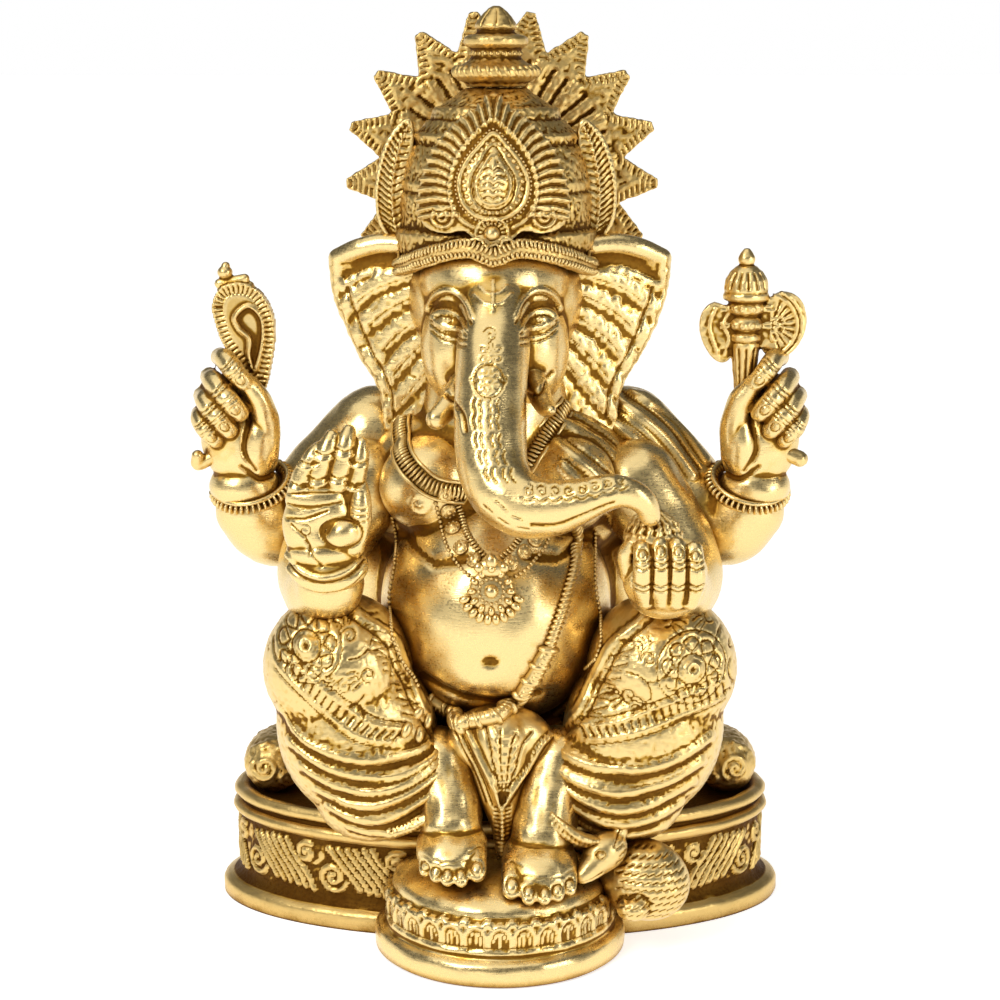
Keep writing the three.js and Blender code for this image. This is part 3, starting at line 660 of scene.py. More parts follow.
def footShape(side):
    def shape(bm):
        settings = footSettings[side]
        addLimb(bm, settings["shin"], 0.15)
        addBall(bm, *settings["instep"])
        cx, cy, cz = settings["instep"][0]
        for x, y, z, r in settings["toes"]:
            addLimb(bm, [[cx + (x - cx) * 0.75, cy - 3, cz, r + 0.5], [x, y + 5, z + 2.4, r],
                         [x, y + 2.4, z + 1.2, r],
                         [x, y, z - 0.2, r * 0.96], [x, y - 0.8, z - 0.8, r * 0.8]], 0.3)
    return shape


def footCarve(side):
    def carve(clay):
        settings = footSettings[side]
        for x, y, z, r in settings["toes"]:
            clay.lines([ring((x, z + r * 0.35), r * 0.62, 14, 1.0)], 0.45, -0.4)
            clay.lines([[(x - r * 0.8, z + r * 1.6), (x, z + r * 1.8), (x + r * 0.8, z + r * 1.6)]], 0.4,
                       -0.15)
        clay.settle()
        clay.at[:, 2] = np.maximum(clay.at[:, 2], settings["sole"])
        clay.settle()
        clay.grain(4, 0.3, 3)
    return carve


for side, word in bothSides:
    cast(word + "_foot", "polished", footShape(side), 0.4, 5, footCarve(side))

drapeSettings = {
    "bulge": ((0, -36, 52), (13, 7, 9)),
    "fall": [[0, -36, 52, 9], [0, -39, 42, 6], [0.6, -41, 33, 3.2], [0.6, -42, 26.4, 1.8]],
    "knot": [(13.6, 54.6), (9.9, 52.4), (7, 47.3), (4, 43.6), (0.6, 38.4)],
    "edge": [(-9.6, 58.4), (-7, 54.4), (-4.8, 50), (-1.9, 44), (0.2, 38.4)],
}


def drapeShape(bm):
    addBall(bm, *drapeSettings["bulge"], detail=4)
    addLimb(bm, drapeSettings["fall"], 0.12)


def drapeCarve(clay):
    settings = drapeSettings
    knot, edge = curve(settings["knot"]), curve(settings["edge"])
    clay.lines([knot, edge], 1.3, 1.0)
    clay.settle()
    for share in (0.26, 0.42, 0.58, 0.74):
        pleat = edge * share + knot * (1 - share)
        clay.lines([pleat], 0.55, -0.5)
    leaves = []
    for height in np.arange(42, 57, 2.2):
        middle = np.interp(height, [38.4, 57], [0.4, 1.6])
        leaves += [curve([(middle, height), (middle + hand * 1.6, height + 0.2),
                          (middle + hand * 2.8, height + 1.8)])
                   for hand in (-1, 1)]
    clay.lines(leaves, 0.45, 0.4)
    clay.lines([shifted(edge, -2.2, 0), shifted(edge, -3.8, 0.4)], 0.5, -0.5)
    clay.lines([[(0.4, 38.4), (0.5, 35), (0.6, 30)]], 1.1, 0.9)
    clay.settle()
    clay.lines(rungs(knot, shifted(knot, 0, 1.2), 1.2), 0.35, -0.35)
    clay.lines([[(-1.4, z), (2.6, z + 0.3)] for z in np.arange(25.6, 38, 1.1)], 0.4, -0.45)


drape = cast("loin_drape", "chased", drapeShape, 0.4, 12, drapeCarve)

armSettings = {
    "rear": [[32, 6, 120, 13], [42, 5, 110, 12.5], [51, 2, 101, 11.8], [58, -2, 98.5, 10.6],
             [62.5, -5, 103, 9.4]],
    "front": [[34, -8, 110, 11.5], [42, -12, 98, 10.6], [45.5, -18, 90, 9.8], [43.5, -28, 87.5, 9.2],
              [41, -36, 90.5, 8.6]],
    "shoulderLines": [[(26, 127), (36, 119), (44, 108)], [(29, 131), (40, 123), (48.6, 112)],
                      [(33, 133), (44, 126), (52.6, 115)]],
}


def armShape(side, kind):
    return lambda bm: addLimb(bm, [[side * x, *rest] for x, *rest in armSettings[kind]], 0.1)


def armCarve(side, kind):
    def carve(clay):
        if kind == "rear" and side > 0:
            clay.lines([curve(stroke) for stroke in armSettings["shoulderLines"]], 1.5, 0.8, flat=0.3)
            clay.lines([beside(curve(stroke), 2.3) for stroke in armSettings["shoulderLines"]], 0.6, -0.5)
        if kind == "rear" and side < 0:
            clay.lines([curve([(-40, 121), (-33, 113), (-30, 104)])], 2.2, 0.7)
        clay.settle()
        clay.grain(7, 0.35, 4)
    return carve


for kind in ("rear", "front"):
    for side, word in bothSides:
        cast(kind + "_" + word + "_arm", "polished", armShape(side, kind), 0.6, 12, armCarve(side, kind))
print("body done")

headSettings = {
    "balls": [((-1, -4, 157), (22, 21, 22), (0, 0, 0)), ((-1.3, -11.6, 161.5), (18.6, 18, 13.4), (0, 0, 0)),
              ((-1.4, -18, 149), (15.4, 13.2, 17), (0, 0, 0)), ((-10, -16, 145.6), (9.3, 12, 15), (12, 0, 0)),
              ((7.6, -16, 145.6), (9.3, 12, 15), (12, 0, 0))],
    "trunk": [[-1.2, -17, 161, 11.4], [-1.4, -27, 152.5, 9.2], [-2, -36.6, 141, 8.7], [-2.3, -44, 128.6, 8.6],
              [-0.8, -49.6, 119, 8.3], [5, -53.6, 113.8, 7.6], [13, -56.4, 113.8, 6.4], [20, -58, 116.2, 4.9],
              [27, -58, 118, 3.9], [32.5, -57.5, 115.7, 3.3], [34.5, -56, 111.5, 2.6]],
    "tusks": [[[-9, -27, 138, 3.6], [-12.4, -34, 133.6, 3.2], [-15, -37, 131.2, 2.8]],
              [[8, -27, 139, 3.2], [10.6, -37, 134.4, 2.6], [12, -42, 134, 1.4]]],
    "eyes": [(-12.2, 153.6, -1), (9.2, 153.8, 1)],
}


def headShape(bm):
    for centre, radii, turn in headSettings["balls"]:
        addBall(bm, centre, radii, turn, detail=5)
    addLimb(bm, headSettings["trunk"], 0.22)
    for tusk in headSettings["tusks"]:
        addLimb(bm, tusk)


def headCarve(clay):
    face = (clay.at[:, 2] > 126) & (clay.at[:, 2] < 176)
    for ex, ez, side in headSettings["eyes"]:  # socket, eyeball, lids and brow
        clay.lump((ex - side * 2.6, -28, ez + 0.6), (4.4, 9, 5.4), -1.0)
        clay.settle()
        clay.lump((ex + side * 0.4, -26, ez), (2.7, 7, 2.0), 1.25)
        clay.settle()
        lids = face * clay.front(0, 0.2)
        upper = curve([(ex - side * 4.2, ez - 1.6), (ex - side * 1.4, ez + 1.4), (ex + side * 1.6, ez + 1.9),
                       (ex + side * 4.4, ez + 0.2)])
        lower = curve([(ex - side * 4.2, ez - 1.6), (ex - side * 1, ez - 2), (ex + side * 1.8, ez - 1.4),
                       (ex + side * 4.4, ez + 0.2)])
        clay.lines([upper, lower], 0.8, 0.65, lids)
        clay.lines([shifted(upper, 0, -0.9)], 0.5, -0.4, lids)
        clay.lines([ring((ex + side * 0.3, ez + 0.1), 0.9, 12)], 0.4, -0.3, lids)
        clay.lines([shifted(upper, side * 0.2, 2), shifted(lower, 0, -1.8), shifted(lower, 0, -3.2)], 0.5,
                   -0.45,
                   lids)
        brow = curve([(ex - side * 5.4, ez + 1.4), (ex - side * 3.6, ez + 5), (ex, ez + 7),
                      (ex + side * 3.6, ez + 5.2),
                      (ex + side * 5.4, ez + 1.6)])
        clay.lines([brow], 1.0, 0.75, lids)
        clay.lines([shifted(brow, 0, -1.3)], 0.6, -0.45, lids)
        clay.settle()
    clay.lump((-1.6, -30, 158), (5.5, 6, 3), 0.9)  # bridge between the brows
    clay.settle()
    plain = clay.front()
    clay.lines([[(-1.7, 163.4), (-1.7, 156.6)]], 0.5, 0.45, plain)
    clay.lines([curve([(-6.2, 160.2), (-4, 158.6), (-1.7, 158.2), (0.6, 158.6), (2.8, 160.2)])], 0.45, 0.4,
               plain)
    clay.lines([curve([(-5, 162), (-3.4, 160.7), (-1.7, 160.4), (0, 160.7), (1.6, 162)])], 0.4, 0.3, plain)
    clay.settle()
    clay.lines([ring((-2.6, 141.6), 3.6, 26)], 0.5, -0.45, plain)
    clay.lines(petals(np.array((-2.6, 141.6)), 0.6, 2.9, 8, 1.4), 0.35, -0.28, plain)
    clay.lines(petals(np.array((-2.2, 147.4)), 0.6, 2.8, 6, 1.2), 0.35, -0.3, plain)
    clay.lines([scroll((-2.2, 151.6), 0.4, 1.8, 1.2, 90), ring((-6.1, 141.8), 0.8, 10),
                ring((0.9, 141.8), 0.8, 10)],
               0.35, -0.3, plain)
    dashes = []
    for row, height in enumerate((136.4, 133, 129, 125.4, 121.6)):  # pairs of wrinkles down the trunk
        drift = (0, 0, 0.4, 1.4, 3)[row]
        for dx in (-3.6, -2, 0.4, 2.2):
            foot = -2.5 + dx + drift
            dashes.append(curve([(foot, height + 1.2), (foot - 0.35, height),
                                 (foot + 0.15 + drift * 0.2, height - 1.6)]))
    clay.lines(dashes, 0.4, -0.4, plain)
    clay.lines([[(-4, 114.6), (-2, 113)], [(-0.4, 111.6), (2, 110.4)], [(4, 109.8), (6.6, 109.4)],
                [(-1, 116), (1.4, 114)],
                [(2.6, 112.8), (5, 111.8)]], 0.4, -0.35, plain)
    leafy = []
    for share in np.linspace(0, 1, 8):  # engraved leaves on the last bend
        heart = np.array((6.5 + 21 * share, 118.4 + 2.6 * share - 3.2 * share * (1 - share)))
        leafy.append(scroll(heart, 0.3, 1.25 - 0.3 * share, 1.2, 200 * share * 3))
        leafy.append(curve([heart + (-1.4, -1.6), heart + (0, -2.2), heart + (1.4, -1.4)]))
    clay.lines(leafy, 0.4, -0.4, plain)
    clay.lines([curve([(7, 110.6), (13, 110.9), (19, 113.4), (26, 116)])], 0.7, -0.5, plain)
    clay.settle()
    mouth = [curve([(-12.6, 136.8), (-9, 134.2), (-8, 130.6)]),
             curve([(6.4, 136.4), (9.4, 137.6), (12.6, 140.4)])]
    clay.lines(mouth, 0.9, -0.9, face * clay.front(0, 0.2))
    clay.settle()
    clay.grain(5, 0.22, 7)


head = cast("head", "polished", headShape, 0.48, 22, headCarve)

earSettings = {
    "outline": [(12, 168), (26, 170), (42, 166.5), (42, 157), (36, 144), (30, 134), (29, 124), (20, 122),
                (13, 134)],
    "rolled": [[14, 0, 168, 2.2], [27, 0, 170, 2.7], [35, -0.4, 168.8, 2.8], [41.6, 0, 166.2, 2.5]],
    "edge": [[41.6, 0, 166.2, 2.5], [41.2, 0, 156, 1.6], [35.6, 0, 143.6, 1.5], [29.8, 0, 134, 1.5],
             [28, 0, 124, 1.7]],
    "creases": [[(40.4, 157), (33.6, 162), (23, 165)], [(38.4, 150.6), (31, 157), (18.4, 162)],
                [(35.2, 144), (27.6, 151.6), (16.2, 158)], [(31.6, 137.4), (25, 145.6), (15.2, 153)],
                [(29.2, 131), (22.4, 139.6), (14.4, 148)], [(27.6, 125.6), (20.4, 133), (13.8, 142)]],
    "sweep": 17, "hinge": (15, -9),
}


def earShape(side):
    def shape(bm):
        settings = earSettings
        addPlate(bm, curve(settings["outline"], 4, closed=True), 0, 3.2)
        for rail in (settings["rolled"], settings["edge"]):
            addLimb(bm, rail)
        x, y = settings["hinge"]
        pivot = Matrix.Translation(place(x, 0, 0))
        swing = Matrix.Translation((0, y * mm, 0)) @ pivot @ Matrix.Rotation(math.radians(settings["sweep"]),
                                                                             4, "Z") \
            @ pivot.inverted()
        bmesh.ops.transform(bm, matrix=swing, verts=list(bm.verts))
        if side < 0:
            bmesh.ops.scale(bm, vec=(-1, 1, 1), verts=list(bm.verts))
            bmesh.ops.reverse_faces(bm, faces=list(bm.faces))
    return shape


def earCarve(side):
    def carve(clay):
        settings = earSettings
        x, y = settings["hinge"]
        angle = math.radians(settings["sweep"])
        across = (side * clay.at[:, 0] - x) * math.cos(angle) + (clay.at[:, 1] - y) * math.sin(angle) + x
        flat = np.column_stack([across, clay.at[:, 2]])
        front = clay.front(0.2, 0.6)
        clay.lines([curve([(15, 164.4), (26, 166), (34, 164.6), (39, 162)])], 2.6, -1.1, front, flat)
        clay.settle()
        creases = [curve(crease) for crease in settings["creases"]]
        clay.lines([(a + b) / 2 for a, b in zip(creases[:-1], creases[1:])], 3.2, 0.26, front, flat)
        clay.settle()
        clay.lines(creases, 1.6, -0.3, front, flat)
        clay.lines([(a * 0.3 + b * 0.7)[3:] for a, b in zip(creases[:-1], creases[1:])], 0.5, -0.22, front,
                   flat)
        clay.settle()
        clay.lines([curve([(38.6, 159), (37, 154), (33, 144.6), (28, 135.4), (26.4, 127)])], 0.6, -0.6, front,
                   flat)
        clay.settle()
        low = smoothStep(166, 163, clay.at[:, 2])
        clay.grain(1.5, 0.24, 9, low)
        clay.settle()
        clay.grain(4.5, 0.2, 10, low)
    return carve


for side, word in bothSides:
    cast(word + "_ear", "polished", earShape(side), 0.45, 3, earCarve(side))

crownSettings = {
    "middle": (-1, -2), "depth": 0.94,
    "profile": [(0, 167), (24.6, 167), (25.2, 170), (25.2, 173), (23.8, 174.4), (23.8, 182), (22.4, 190),
                (19.2, 197.5),
                (14.6, 203), (9.6, 206.4), (7.4, 208), (0, 208)],
    "tiers": [(185, 0.35), (196.4, 0.9), (202.6, 0.6)],
    "band": [(-25, 0, 163.6, 2.2), (-22.6, -13, 165.4, 2.3), (-16, -22, 168.6, 2.4),
             (-8.6, -26.4, 170.6, 2.4),
             (-4.6, -27.6, 170, 2.4), (-1.4, -28.2, 168.6, 2.4), (1.8, -27.6, 170, 2.4),
             (6, -26.6, 170.6, 2.4),
             (13.6, -22.4, 168.6, 2.4), (20.4, -13.4, 165.4, 2.3), (23, 0, 163.6, 2.2)],
}


def crownShape(bm):
    addTurned(bm, crownSettings["profile"], crownSettings["middle"], crownSettings["depth"])
    addLimb(bm, crownSettings["band"], 0.4)


def crownCarve(clay):
    around = clay.around(*crownSettings["middle"], 22)
    for height, rise in crownSettings["tiers"]:
        clay.lines([[(-75, height), (75, height)]], 1.2, rise, 1.0, around)
        clay.lines([[(-75, height - 1.9), (75, height - 1.9)]], 0.7, -0.5, 1.0, around)
    clay.settle()
    swirl = []
    for index in range(18):
        at = -66 + index * 7.8
        for height in (179.6, 186.6, 193.8):
            swirl.append(scroll((at + (height % 3), height), 0.5, 2.3, 1.4, index * 70,
                                1 if index % 2 else -1))
    clay.lines(swirl, 0.5, 0.35, 1.0, around)
    clay.settle()
    clay.grain(0.9, 0.3, 11)


crown = cast("crown", "antique", crownShape, 0.5, 2, crownCarve)


def crownFront(x, z, lift=0.0):  # the crown's front face at a given place
    (cx, cy), depth = crownSettings["middle"], crownSettings["depth"]
    profile = np.array(crownSettings["profile"][1:-1])
    radius = np.interp(z, profile[:, 1], profile[:, 0]) + lift
    return cy - depth * np.sqrt(np.maximum(radius ** 2 - (x - cx) ** 2, 4))


crestSettings = {
    "half": [(0, 207.4), (3.6, 203.6), (8.6, 200.6), (13.4, 195.4), (16.4, 189.6), (18, 183.6), (18.2, 178.6),
             (16, 175),
             (11.4, 174), (7, 174.6), (4, 172.4), (0, 170.4)],
    "inner": [(0.6, 200.6), (4.4, 197.4), (8.2, 192.6), (10.2, 187), (10.2, 182), (8.6, 178.6)],
    "outer": [(0.8, 206.4), (7.4, 200.8), (14, 193.8), (17, 186), (17.8, 180.4), (17.4, 177.6)],
    "oval": [(0, 197.6), (3.4, 194.6), (6.6, 190.6), (8.2, 186.4), (7.4, 181.8), (4.4, 178.6), (0, 177.4)],
    "paisley": [(0, 192.8), (2.2, 190), (4, 186.8), (3.6, 183.2), (1.8, 181.4), (0, 181)],
    "middle": -1.6, "thick": 2.5,
}


def mirrored(half, middle):  # a closed outline from its right half
    half = np.array(half, float)
    return np.vstack([half + (middle, 0), half[-2:0:-1] * (-1, 1) + (middle, 0)])


def crestShape(bm):
    settings = crestSettings
    addPlate(bm, curve(mirrored(settings["half"], settings["middle"]), 3, closed=True), 0, settings["thick"])


def crestCarve(clay):
    settings = crestSettings
    middle = settings["middle"]
    clay.at[:, 1] += crownFront(clay.at[:, 0], clay.at[:, 2], 0.3) - settings["thick"] / 2
    clay.settle()
    front = clay.front(0.1, 0.3)
    oval = curve(mirrored(settings["oval"], middle), 5, closed=True)
    paisley = curve(mirrored(settings["paisley"], middle), 5, closed=True)
    sides = []
    for side in (-1, 1):
        inner, outer = [curve(np.array(settings[key]) * (side, 1) + (middle, 0)) for key in ("inner",
                                                                                             "outer")]
        sides += [curve([a, a * 0.5 + b * 0.5 + (0, 0.5), b]) for a, b in rungs(inner, outer, 1.9, 0.03)]
        clay.lines([inner], 0.55, 0.45, front)
    clay.lines(sides, 0.95, 1.0, front)
    clay.settle()
    clay.lines(sides, 0.3, -0.3, front)
    clay.lines([oval], 0.6, 0.6, front)
    clay.push(clay.inside(paisley, 2.6) * 1.3 * front)
    clay.settle()
    clay.lines([paisley], 0.5, 0.5, front)
    clay.lines([(paisley - (middle, 186.5)) * 1.28 + (middle, 186.7)], 0.4, -0.4, front)
    veins = []
    for side in (-1, 1):
        for step in range(5):
            height = 190.4 - step * 1.7
            veins.append(curve([(middle, height - 1.4), (middle + side * 1.2, height - 0.6),
                                (middle + side * 2.6, height - 1.2)]))
    clay.lines(veins, 0.35, -0.4, front)
    curls = []
    for side in (-1, 1):
        heart = (middle + side * 12.4, 178)
        curls += [scroll(heart, 0.3, 3.0, 1.8, 90, -side),
                  curve([(middle + side * 9.6, 179.4), (middle + side * 7.2, 177),
                         (middle + side * 4.8, 175.6)])]
    clay.lines(curls, 0.55, 0.7, front)
    clay.settle()
    clay.lines([ring((middle - 0.3, 174), 3.9, 30)], 0.5, 0.5, front)
    clay.lines(rays(np.array((middle - 0.3, 174)), 2.3, 3.6, 18), 0.35, 0.4, front)
    clay.lump((middle, -27.5, 204.2), (1.6, 4, 2), 0.9)
    clay.settle()
    clay.grain(0.8, 0.12, 12)


crest = cast("crown_crest", "chased", crestShape, 0.3, 1, crestCarve)
crownSkin = Surface(crown, crest, head)


def crestBeads(bm):
    middle = crestSettings["middle"]
    oval = curve(mirrored(crestSettings["oval"], middle), 6, closed=True)
    for scale, gap, size in ((0.84, 1.75, 0.62), (1.09, 1.0, 0.36)):
        line = (oval - (middle, 187.4)) * scale + (middle, 187.4)
        spots, ups = crownSkin.front(line, 0.05)
        addRow(bm, spots, ups, gap, (size, size, size))
    spots, ups = crownSkin.front(ring((middle - 0.3, 174), 0.01, 3), 0.2)
    stud(bm, spots[0], (1.9, 1.9, 1.9), up=ups[0], detail=3)
    band = curve(np.array(crownSettings["band"])[:, :3])
    outward = band - (-1, -2, 0)
    outward[:, 2] = 0
    outward /= np.linalg.norm(outward, axis=1)[:, None]
    for rise, size in ((1.3, 1.4), (-1.3, 1.1)):
        spots, ups = crownSkin.near(band + outward * 3 + (0, 0, rise * 1.6), 0.1)
        addRow(bm, spots, ups, 1.15, (0.48, size, 0.75))
    for rise in (3.3, -2.9):
        spots, ups = crownSkin.near(band + outward * 2.4 + (0, 0, rise), 0.1)
        addTube(bm, spots, 0.42)


applied("crownBeads", "crown_crest", "chased", crestBeads)

crownLeafSettings = {
    "outline": [(20.5, 167.5), (27.5, 174), (28.6, 185), (25.5, 196), (20, 200.6), (19, 192), (21, 182),
                (19, 173)],
    "rib": [(22.4, 169), (24.4, 176), (24.6, 185), (22.8, 194), (20.6, 199)],
    "outer": [(24.6, 171), (27.6, 177), (27.8, 185), (25.4, 194), (21.4, 199.6)],
    "inner": [(20.6, 170), (21.2, 176), (21.6, 184), (20.2, 192), (19.6, 198)],
}


def leafShape(side):
    shift = (0, 0) if side > 0 else (-2, 0)
    return lambda bm: addPlate(bm, curve(np.array(crownLeafSettings["outline"]) * (side, 1) + shift, 5,
                                         closed=True), -4, 4)


def leafCarve(side):
    def carve(clay):
        shift = (0, 0) if side > 0 else (-2, 0)
        rib, outer, inner = [curve(np.array(crownLeafSettings[key]) * (side, 1) + shift) for key in ("rib",
                                                                                                     "outer",
                                                                                                     "inner")]
        both = smoothStep(0.1, 0.4, np.abs(clay.facing[:, 1]))
        clay.lines([rib], 0.8, 0.6, both)
        clay.lines([outer], 0.5, 0.4, both)
        clay.settle()
        clay.lines(rungs(rib, outer, 1.5, 0.05), 0.55, -0.7, both)
        clay.lines([(a, b * 0.9 + a * 0.1) for a, b in rungs(rib, inner, 1.9, 0.05)], 0.4, -0.3, both)
        clay.settle()
        clay.grain(0.8, 0.15, 13)
    return carve


for side, word in bothSides:
    cast(word + "_crown_leaf", "chased", leafShape(side), 0.32, 3, leafCarve(side))

finialSettings = {
    "profile": [(0, 208.3), (7.2, 208.3), (7.8, 209.2), (9.4, 210), (10.6, 211), (10.6, 212.6), (7.4, 214.2),
                (6.2, 215.2),
                (6.2, 217.4), (7.2, 218), (7.9, 218.6), (7.9, 220), (7.2, 220.6), (4.7, 221.2), (4.5, 222),
                (5.2, 222.6),
                (5.1, 223.4), (3.9, 225.2), (1.9, 227.2), (0.8, 227.8), (0, 227.9)],
    "rope": (10.1, 211.9), "beads": (6.4, 216.3),
}


def finialShape(bm):
    addTurned(bm, finialSettings["profile"], (-1, -2), steps=72)


def finialCarve(clay):
    around = clay.around(-1, -2, 6)
    clay.lines([[(a, 223), (a + 0.3, 227)] for a in np.linspace(-18.8, 18.8, 9)], 0.5, -0.3, 1.0, around)
    clay.grain(1.2, 0.12, 14)


cast("crown_finial", "antique", finialShape, 0.32, 1, finialCarve)


def finialRope(bm):
    for (radius, height), gap, size, tilt in ((finialSettings["rope"], 2.0, (0.95, 1.9, 1.7), 32),
                                              (finialSettings["beads"], 1.5, (0.7, 0.8, 0.7), 0)):
        turns = np.linspace(0, 2 * math.pi, 60)
        ups = np.column_stack([np.cos(turns), np.sin(turns), np.zeros(60)])
        line = ups * radius * 0.93 + (-1, -2, height)
        addRow(bm, line, ups, gap, size, tilt, detail=2 if tilt else 1)


applied("finialRope", "crown_finial", "antique", finialRope)

haloSettings = {"centre": (0.5, 187), "y": 24, "thick": 2.6, "tip": 40.5, "valley": 31.5, "rays": 17}


def haloShape(bm):
    settings = haloSettings
    pitch = 2 * math.pi / settings["rays"]
    outline = []
    for index in range(settings["rays"]):
        tip = math.pi / 2 + (index + 0.5) * pitch
        for radius, angle in ((settings["valley"], tip - pitch / 2), (settings["tip"], tip - 0.028),
                              (settings["tip"], tip + 0.028)):
            outline.append((settings["centre"][0] + radius * math.cos(angle),
                            settings["centre"][1] + radius * math.sin(angle)))
    addPlate(bm, outline, settings["y"], settings["thick"])


def haloCarve(clay):
    settings = haloSettings
    centre = np.array(settings["centre"])
    pitch = 2 * math.pi / settings["rays"]
    front = smoothStep(0.4, 0.8, -clay.facing[:, 1])
    offset = clay.seen() - centre
    polar = np.column_stack([np.hypot(*offset.T), np.mod(np.arctan2(offset[:, 1], offset[:, 0]) - math.pi / 2,
                                                         pitch)])
    polar[:, 1] = (polar[:, 1] - pitch / 2) * polar[:, 0]  # each ray folded on to one
    cuts = []
    for step in range(8):
        out = 30.5 + step * 1.25
        half = max(0.4, (settings["tip"] - out) * 0.62)
        for side in (-1, 1):
            cuts.append(np.array([(out - 0.4, side * max(half - 1.9, 0.35)),
                                  (out + 0.25, side * (half + 0.4))]))
    clay.lines(cuts, 0.45, -0.6, front, polar)
    clay.lines([[(12, 1.3), (28, 2.0)], [(12, -1.3), (28, -2.0)]], 0.9, -1.1, front, polar)
    clay.lines([[(12, 3.2), (29, 4.6)], [(12, -3.2), (29, -4.6)]], 1.2, 0.5, front, polar)
    clay.settle()
    clay.grain(1.3, 0.3, 15)


cast("halo", "antique", haloShape, 0.45, 1, haloCarve)


def stubShape(bm):
    addTube(bm, [(-0.5, 12, 187), (-0.5, 25.4, 187), (-0.5, 27, 187, 0.7)], 3.6, roundness=6)


def rivetShape(bm):
    addBall(bm, (-0.5, 25.9, 187), (6.4, 3.8, 6.4), detail=4)
    half = bmesh.ops.bisect_plane(bm, geom=bm.verts[:] + bm.edges[:] + bm.faces[:], dist=1e-7,
                                  plane_co=place(0, 25.7, 0),
                                  plane_no=(0, -1, 0), clear_outer=True)
    mouth = [part for part in half["geom_cut"] if isinstance(part, bmesh.types.BMEdge)]
    bmesh.ops.contextual_create(bm, geom=mouth)


def hammered(clay):
    clay.grain(1.6, 0.5, 16)


cast("halo_stub", "antique", stubShape, 0.35, 2, hammered)
cast("halo_rivet", "antique", rivetShape, 0.35, 2, hammered)
print("head and crown done")

gripSettings = {
    "palm": [((65, -7.6, 120), (9.4, 7.2, 11.4), (0, 24, 0)), ((64.2, -7, 109.4), (8.8, 7.8, 6.4), (0, 0, 0)),
             ((68.4, -7.4, 128.6), (6.6, 5.8, 9.4), (0, 30, 0)), ((64.6, -7, 134), (4.6, 5, 6.4), (0, 30, 0)),
             ((59.8, -10.4, 121), (4.8, 5.4, 9.4), (0, -6, 0))],
    "thumb": [[58.6, -10.6, 119, 4], [57.8, -12, 126, 3.5], [59.6, -13.4, 132.4, 3.1],
              [62.2, -14.6, 136.4, 2.4]],
    "fingers": [[[69.4, -8.6, 142.2, 2.5], [67.4, -13.2, 142, 2.7], [65, -16, 139.6, 2.7],
                 [62.8, -15.4, 136.8, 2.4]],
                [[72, -8.6, 137.2, 2.6], [70, -14, 136.2, 2.8], [66.8, -17, 132.8, 2.8],
                 [64, -15.8, 129.4, 2.5]],
                [[74, -8.6, 132.6, 2.5], [72.2, -14, 131.6, 2.7], [69.4, -16.8, 128.4, 2.7],
                 [66.8, -15.4, 125.2, 2.4]],
                [[74.9, -8.2, 128, 2.2], [74.2, -12.6, 127.4, 2.4], [72.4, -15.6, 125, 2.4],
                 [70.4, -14.4, 122.4, 2.1]]],
    "bangle": ((62.4, -5.6, 109.2), 9.3, (0.19, -0.5, 1)),
}


def gripShape(side):
    def shape(bm):
        settings = gripSettings
        for (x, y, z), radii, (_, turn, _) in settings["palm"]:
            addBall(bm, (side * x, y, z), radii, (0, side * turn, 0))
        for stations in (settings["thumb"], *settings["fingers"]):
            addLimb(bm, [[side * x, *rest] for x, *rest in stations])
    return shape


def gripCarve(side):
    def carve(clay):
        settings = gripSettings
        for stations in settings["fingers"]:
            path = curve(np.array(stations)[:, [0, 2]] * (side, 1), 8)
            across = []
            for share in (0.42, 0.5, 0.68, 0.75):
                at = path[int(share * (len(path) - 1))]
                way = path[int(share * (len(path) - 1)) + 1] - at
                way /= np.linalg.norm(way)
                half = np.array([-way[1], way[0]]) * 2.3
                across.append(np.array([at - half, at + half]))
            clay.lines(across, 0.42, -0.4)
            tip = path[-3]
            clay.lines([ring(tip, 1.25, 14)], 0.4, -0.35)
        palm = [curve([(side * 64, 115.6), (side * 60, 112.4), (side * 56.4, 112.6)]),
                curve([(side * 62, 127), (side * 63.4, 120), (side * 60.6, 114.4)])]
        clay.lines(palm, 1.0, -0.6)
        clay.settle()
        clay.grain(4, 0.25, 21)
    return carve


def bangle(name, node, centre, radius, normal, ribs=(0.5, 1.5, 1.9), gap=1.35):
    def shape(bm):
        facing = Vector(normal).normalized()
        across = facing.cross(Vector((0, 1, 0))).normalized()
        other = facing.cross(across)
        turns = np.linspace(0, 2 * math.pi, 49)
        ups = np.array([across * math.cos(t) + other * math.sin(t) for t in turns])
        line = np.array(centre) + ups * radius
        addRow(bm, line, ups, gap, ribs, detail=2)
        for lift in (-1.35, 1.35):
            addTube(bm, (line + np.array(facing) * lift)[:-1], 0.6, closed=True)
    applied(name, node, "polished", shape)


for side, node, name in ((-1, "rear_right_hand", "rightBangle"), (1, "rear_left_hand", "leftBangle")):
    cast(node, "polished", gripShape(side), 0.36, 3, gripCarve(side))
    (x, y, z), radius, (nx, ny, nz) = gripSettings["bangle"]
    bangle(name, node, (side * x, y, z), radius, (side * nx, ny, nz))

nooseSettings = {
    "outline": [(-70.6, 155), (-69.6, 150), (-68.2, 146), (-64.6, 140.8), (-61, 136.6), (-58.8, 133.6),
                (-57, 139),
                (-55.6, 148), (-56.4, 154), (-59.4, 158.8), (-64, 160.6), (-68.8, 159.2)],
    "inner": [(-65.3, 152.6), (-61.9, 155.4), (-58.6, 152.6), (-58.2, 147.4), (-59.6, 141.4), (-61, 139.4),
              (-62.1, 143),
              (-61.8, 147), (-64.3, 149.6)],
    "tail": [[-60, -10, 134, 1.7], [-66, -10, 122, 1.7], [-74.6, -10.6, 115.8, 1.8],
             [-75.2, -11.6, 117.8, 1.6]],
}


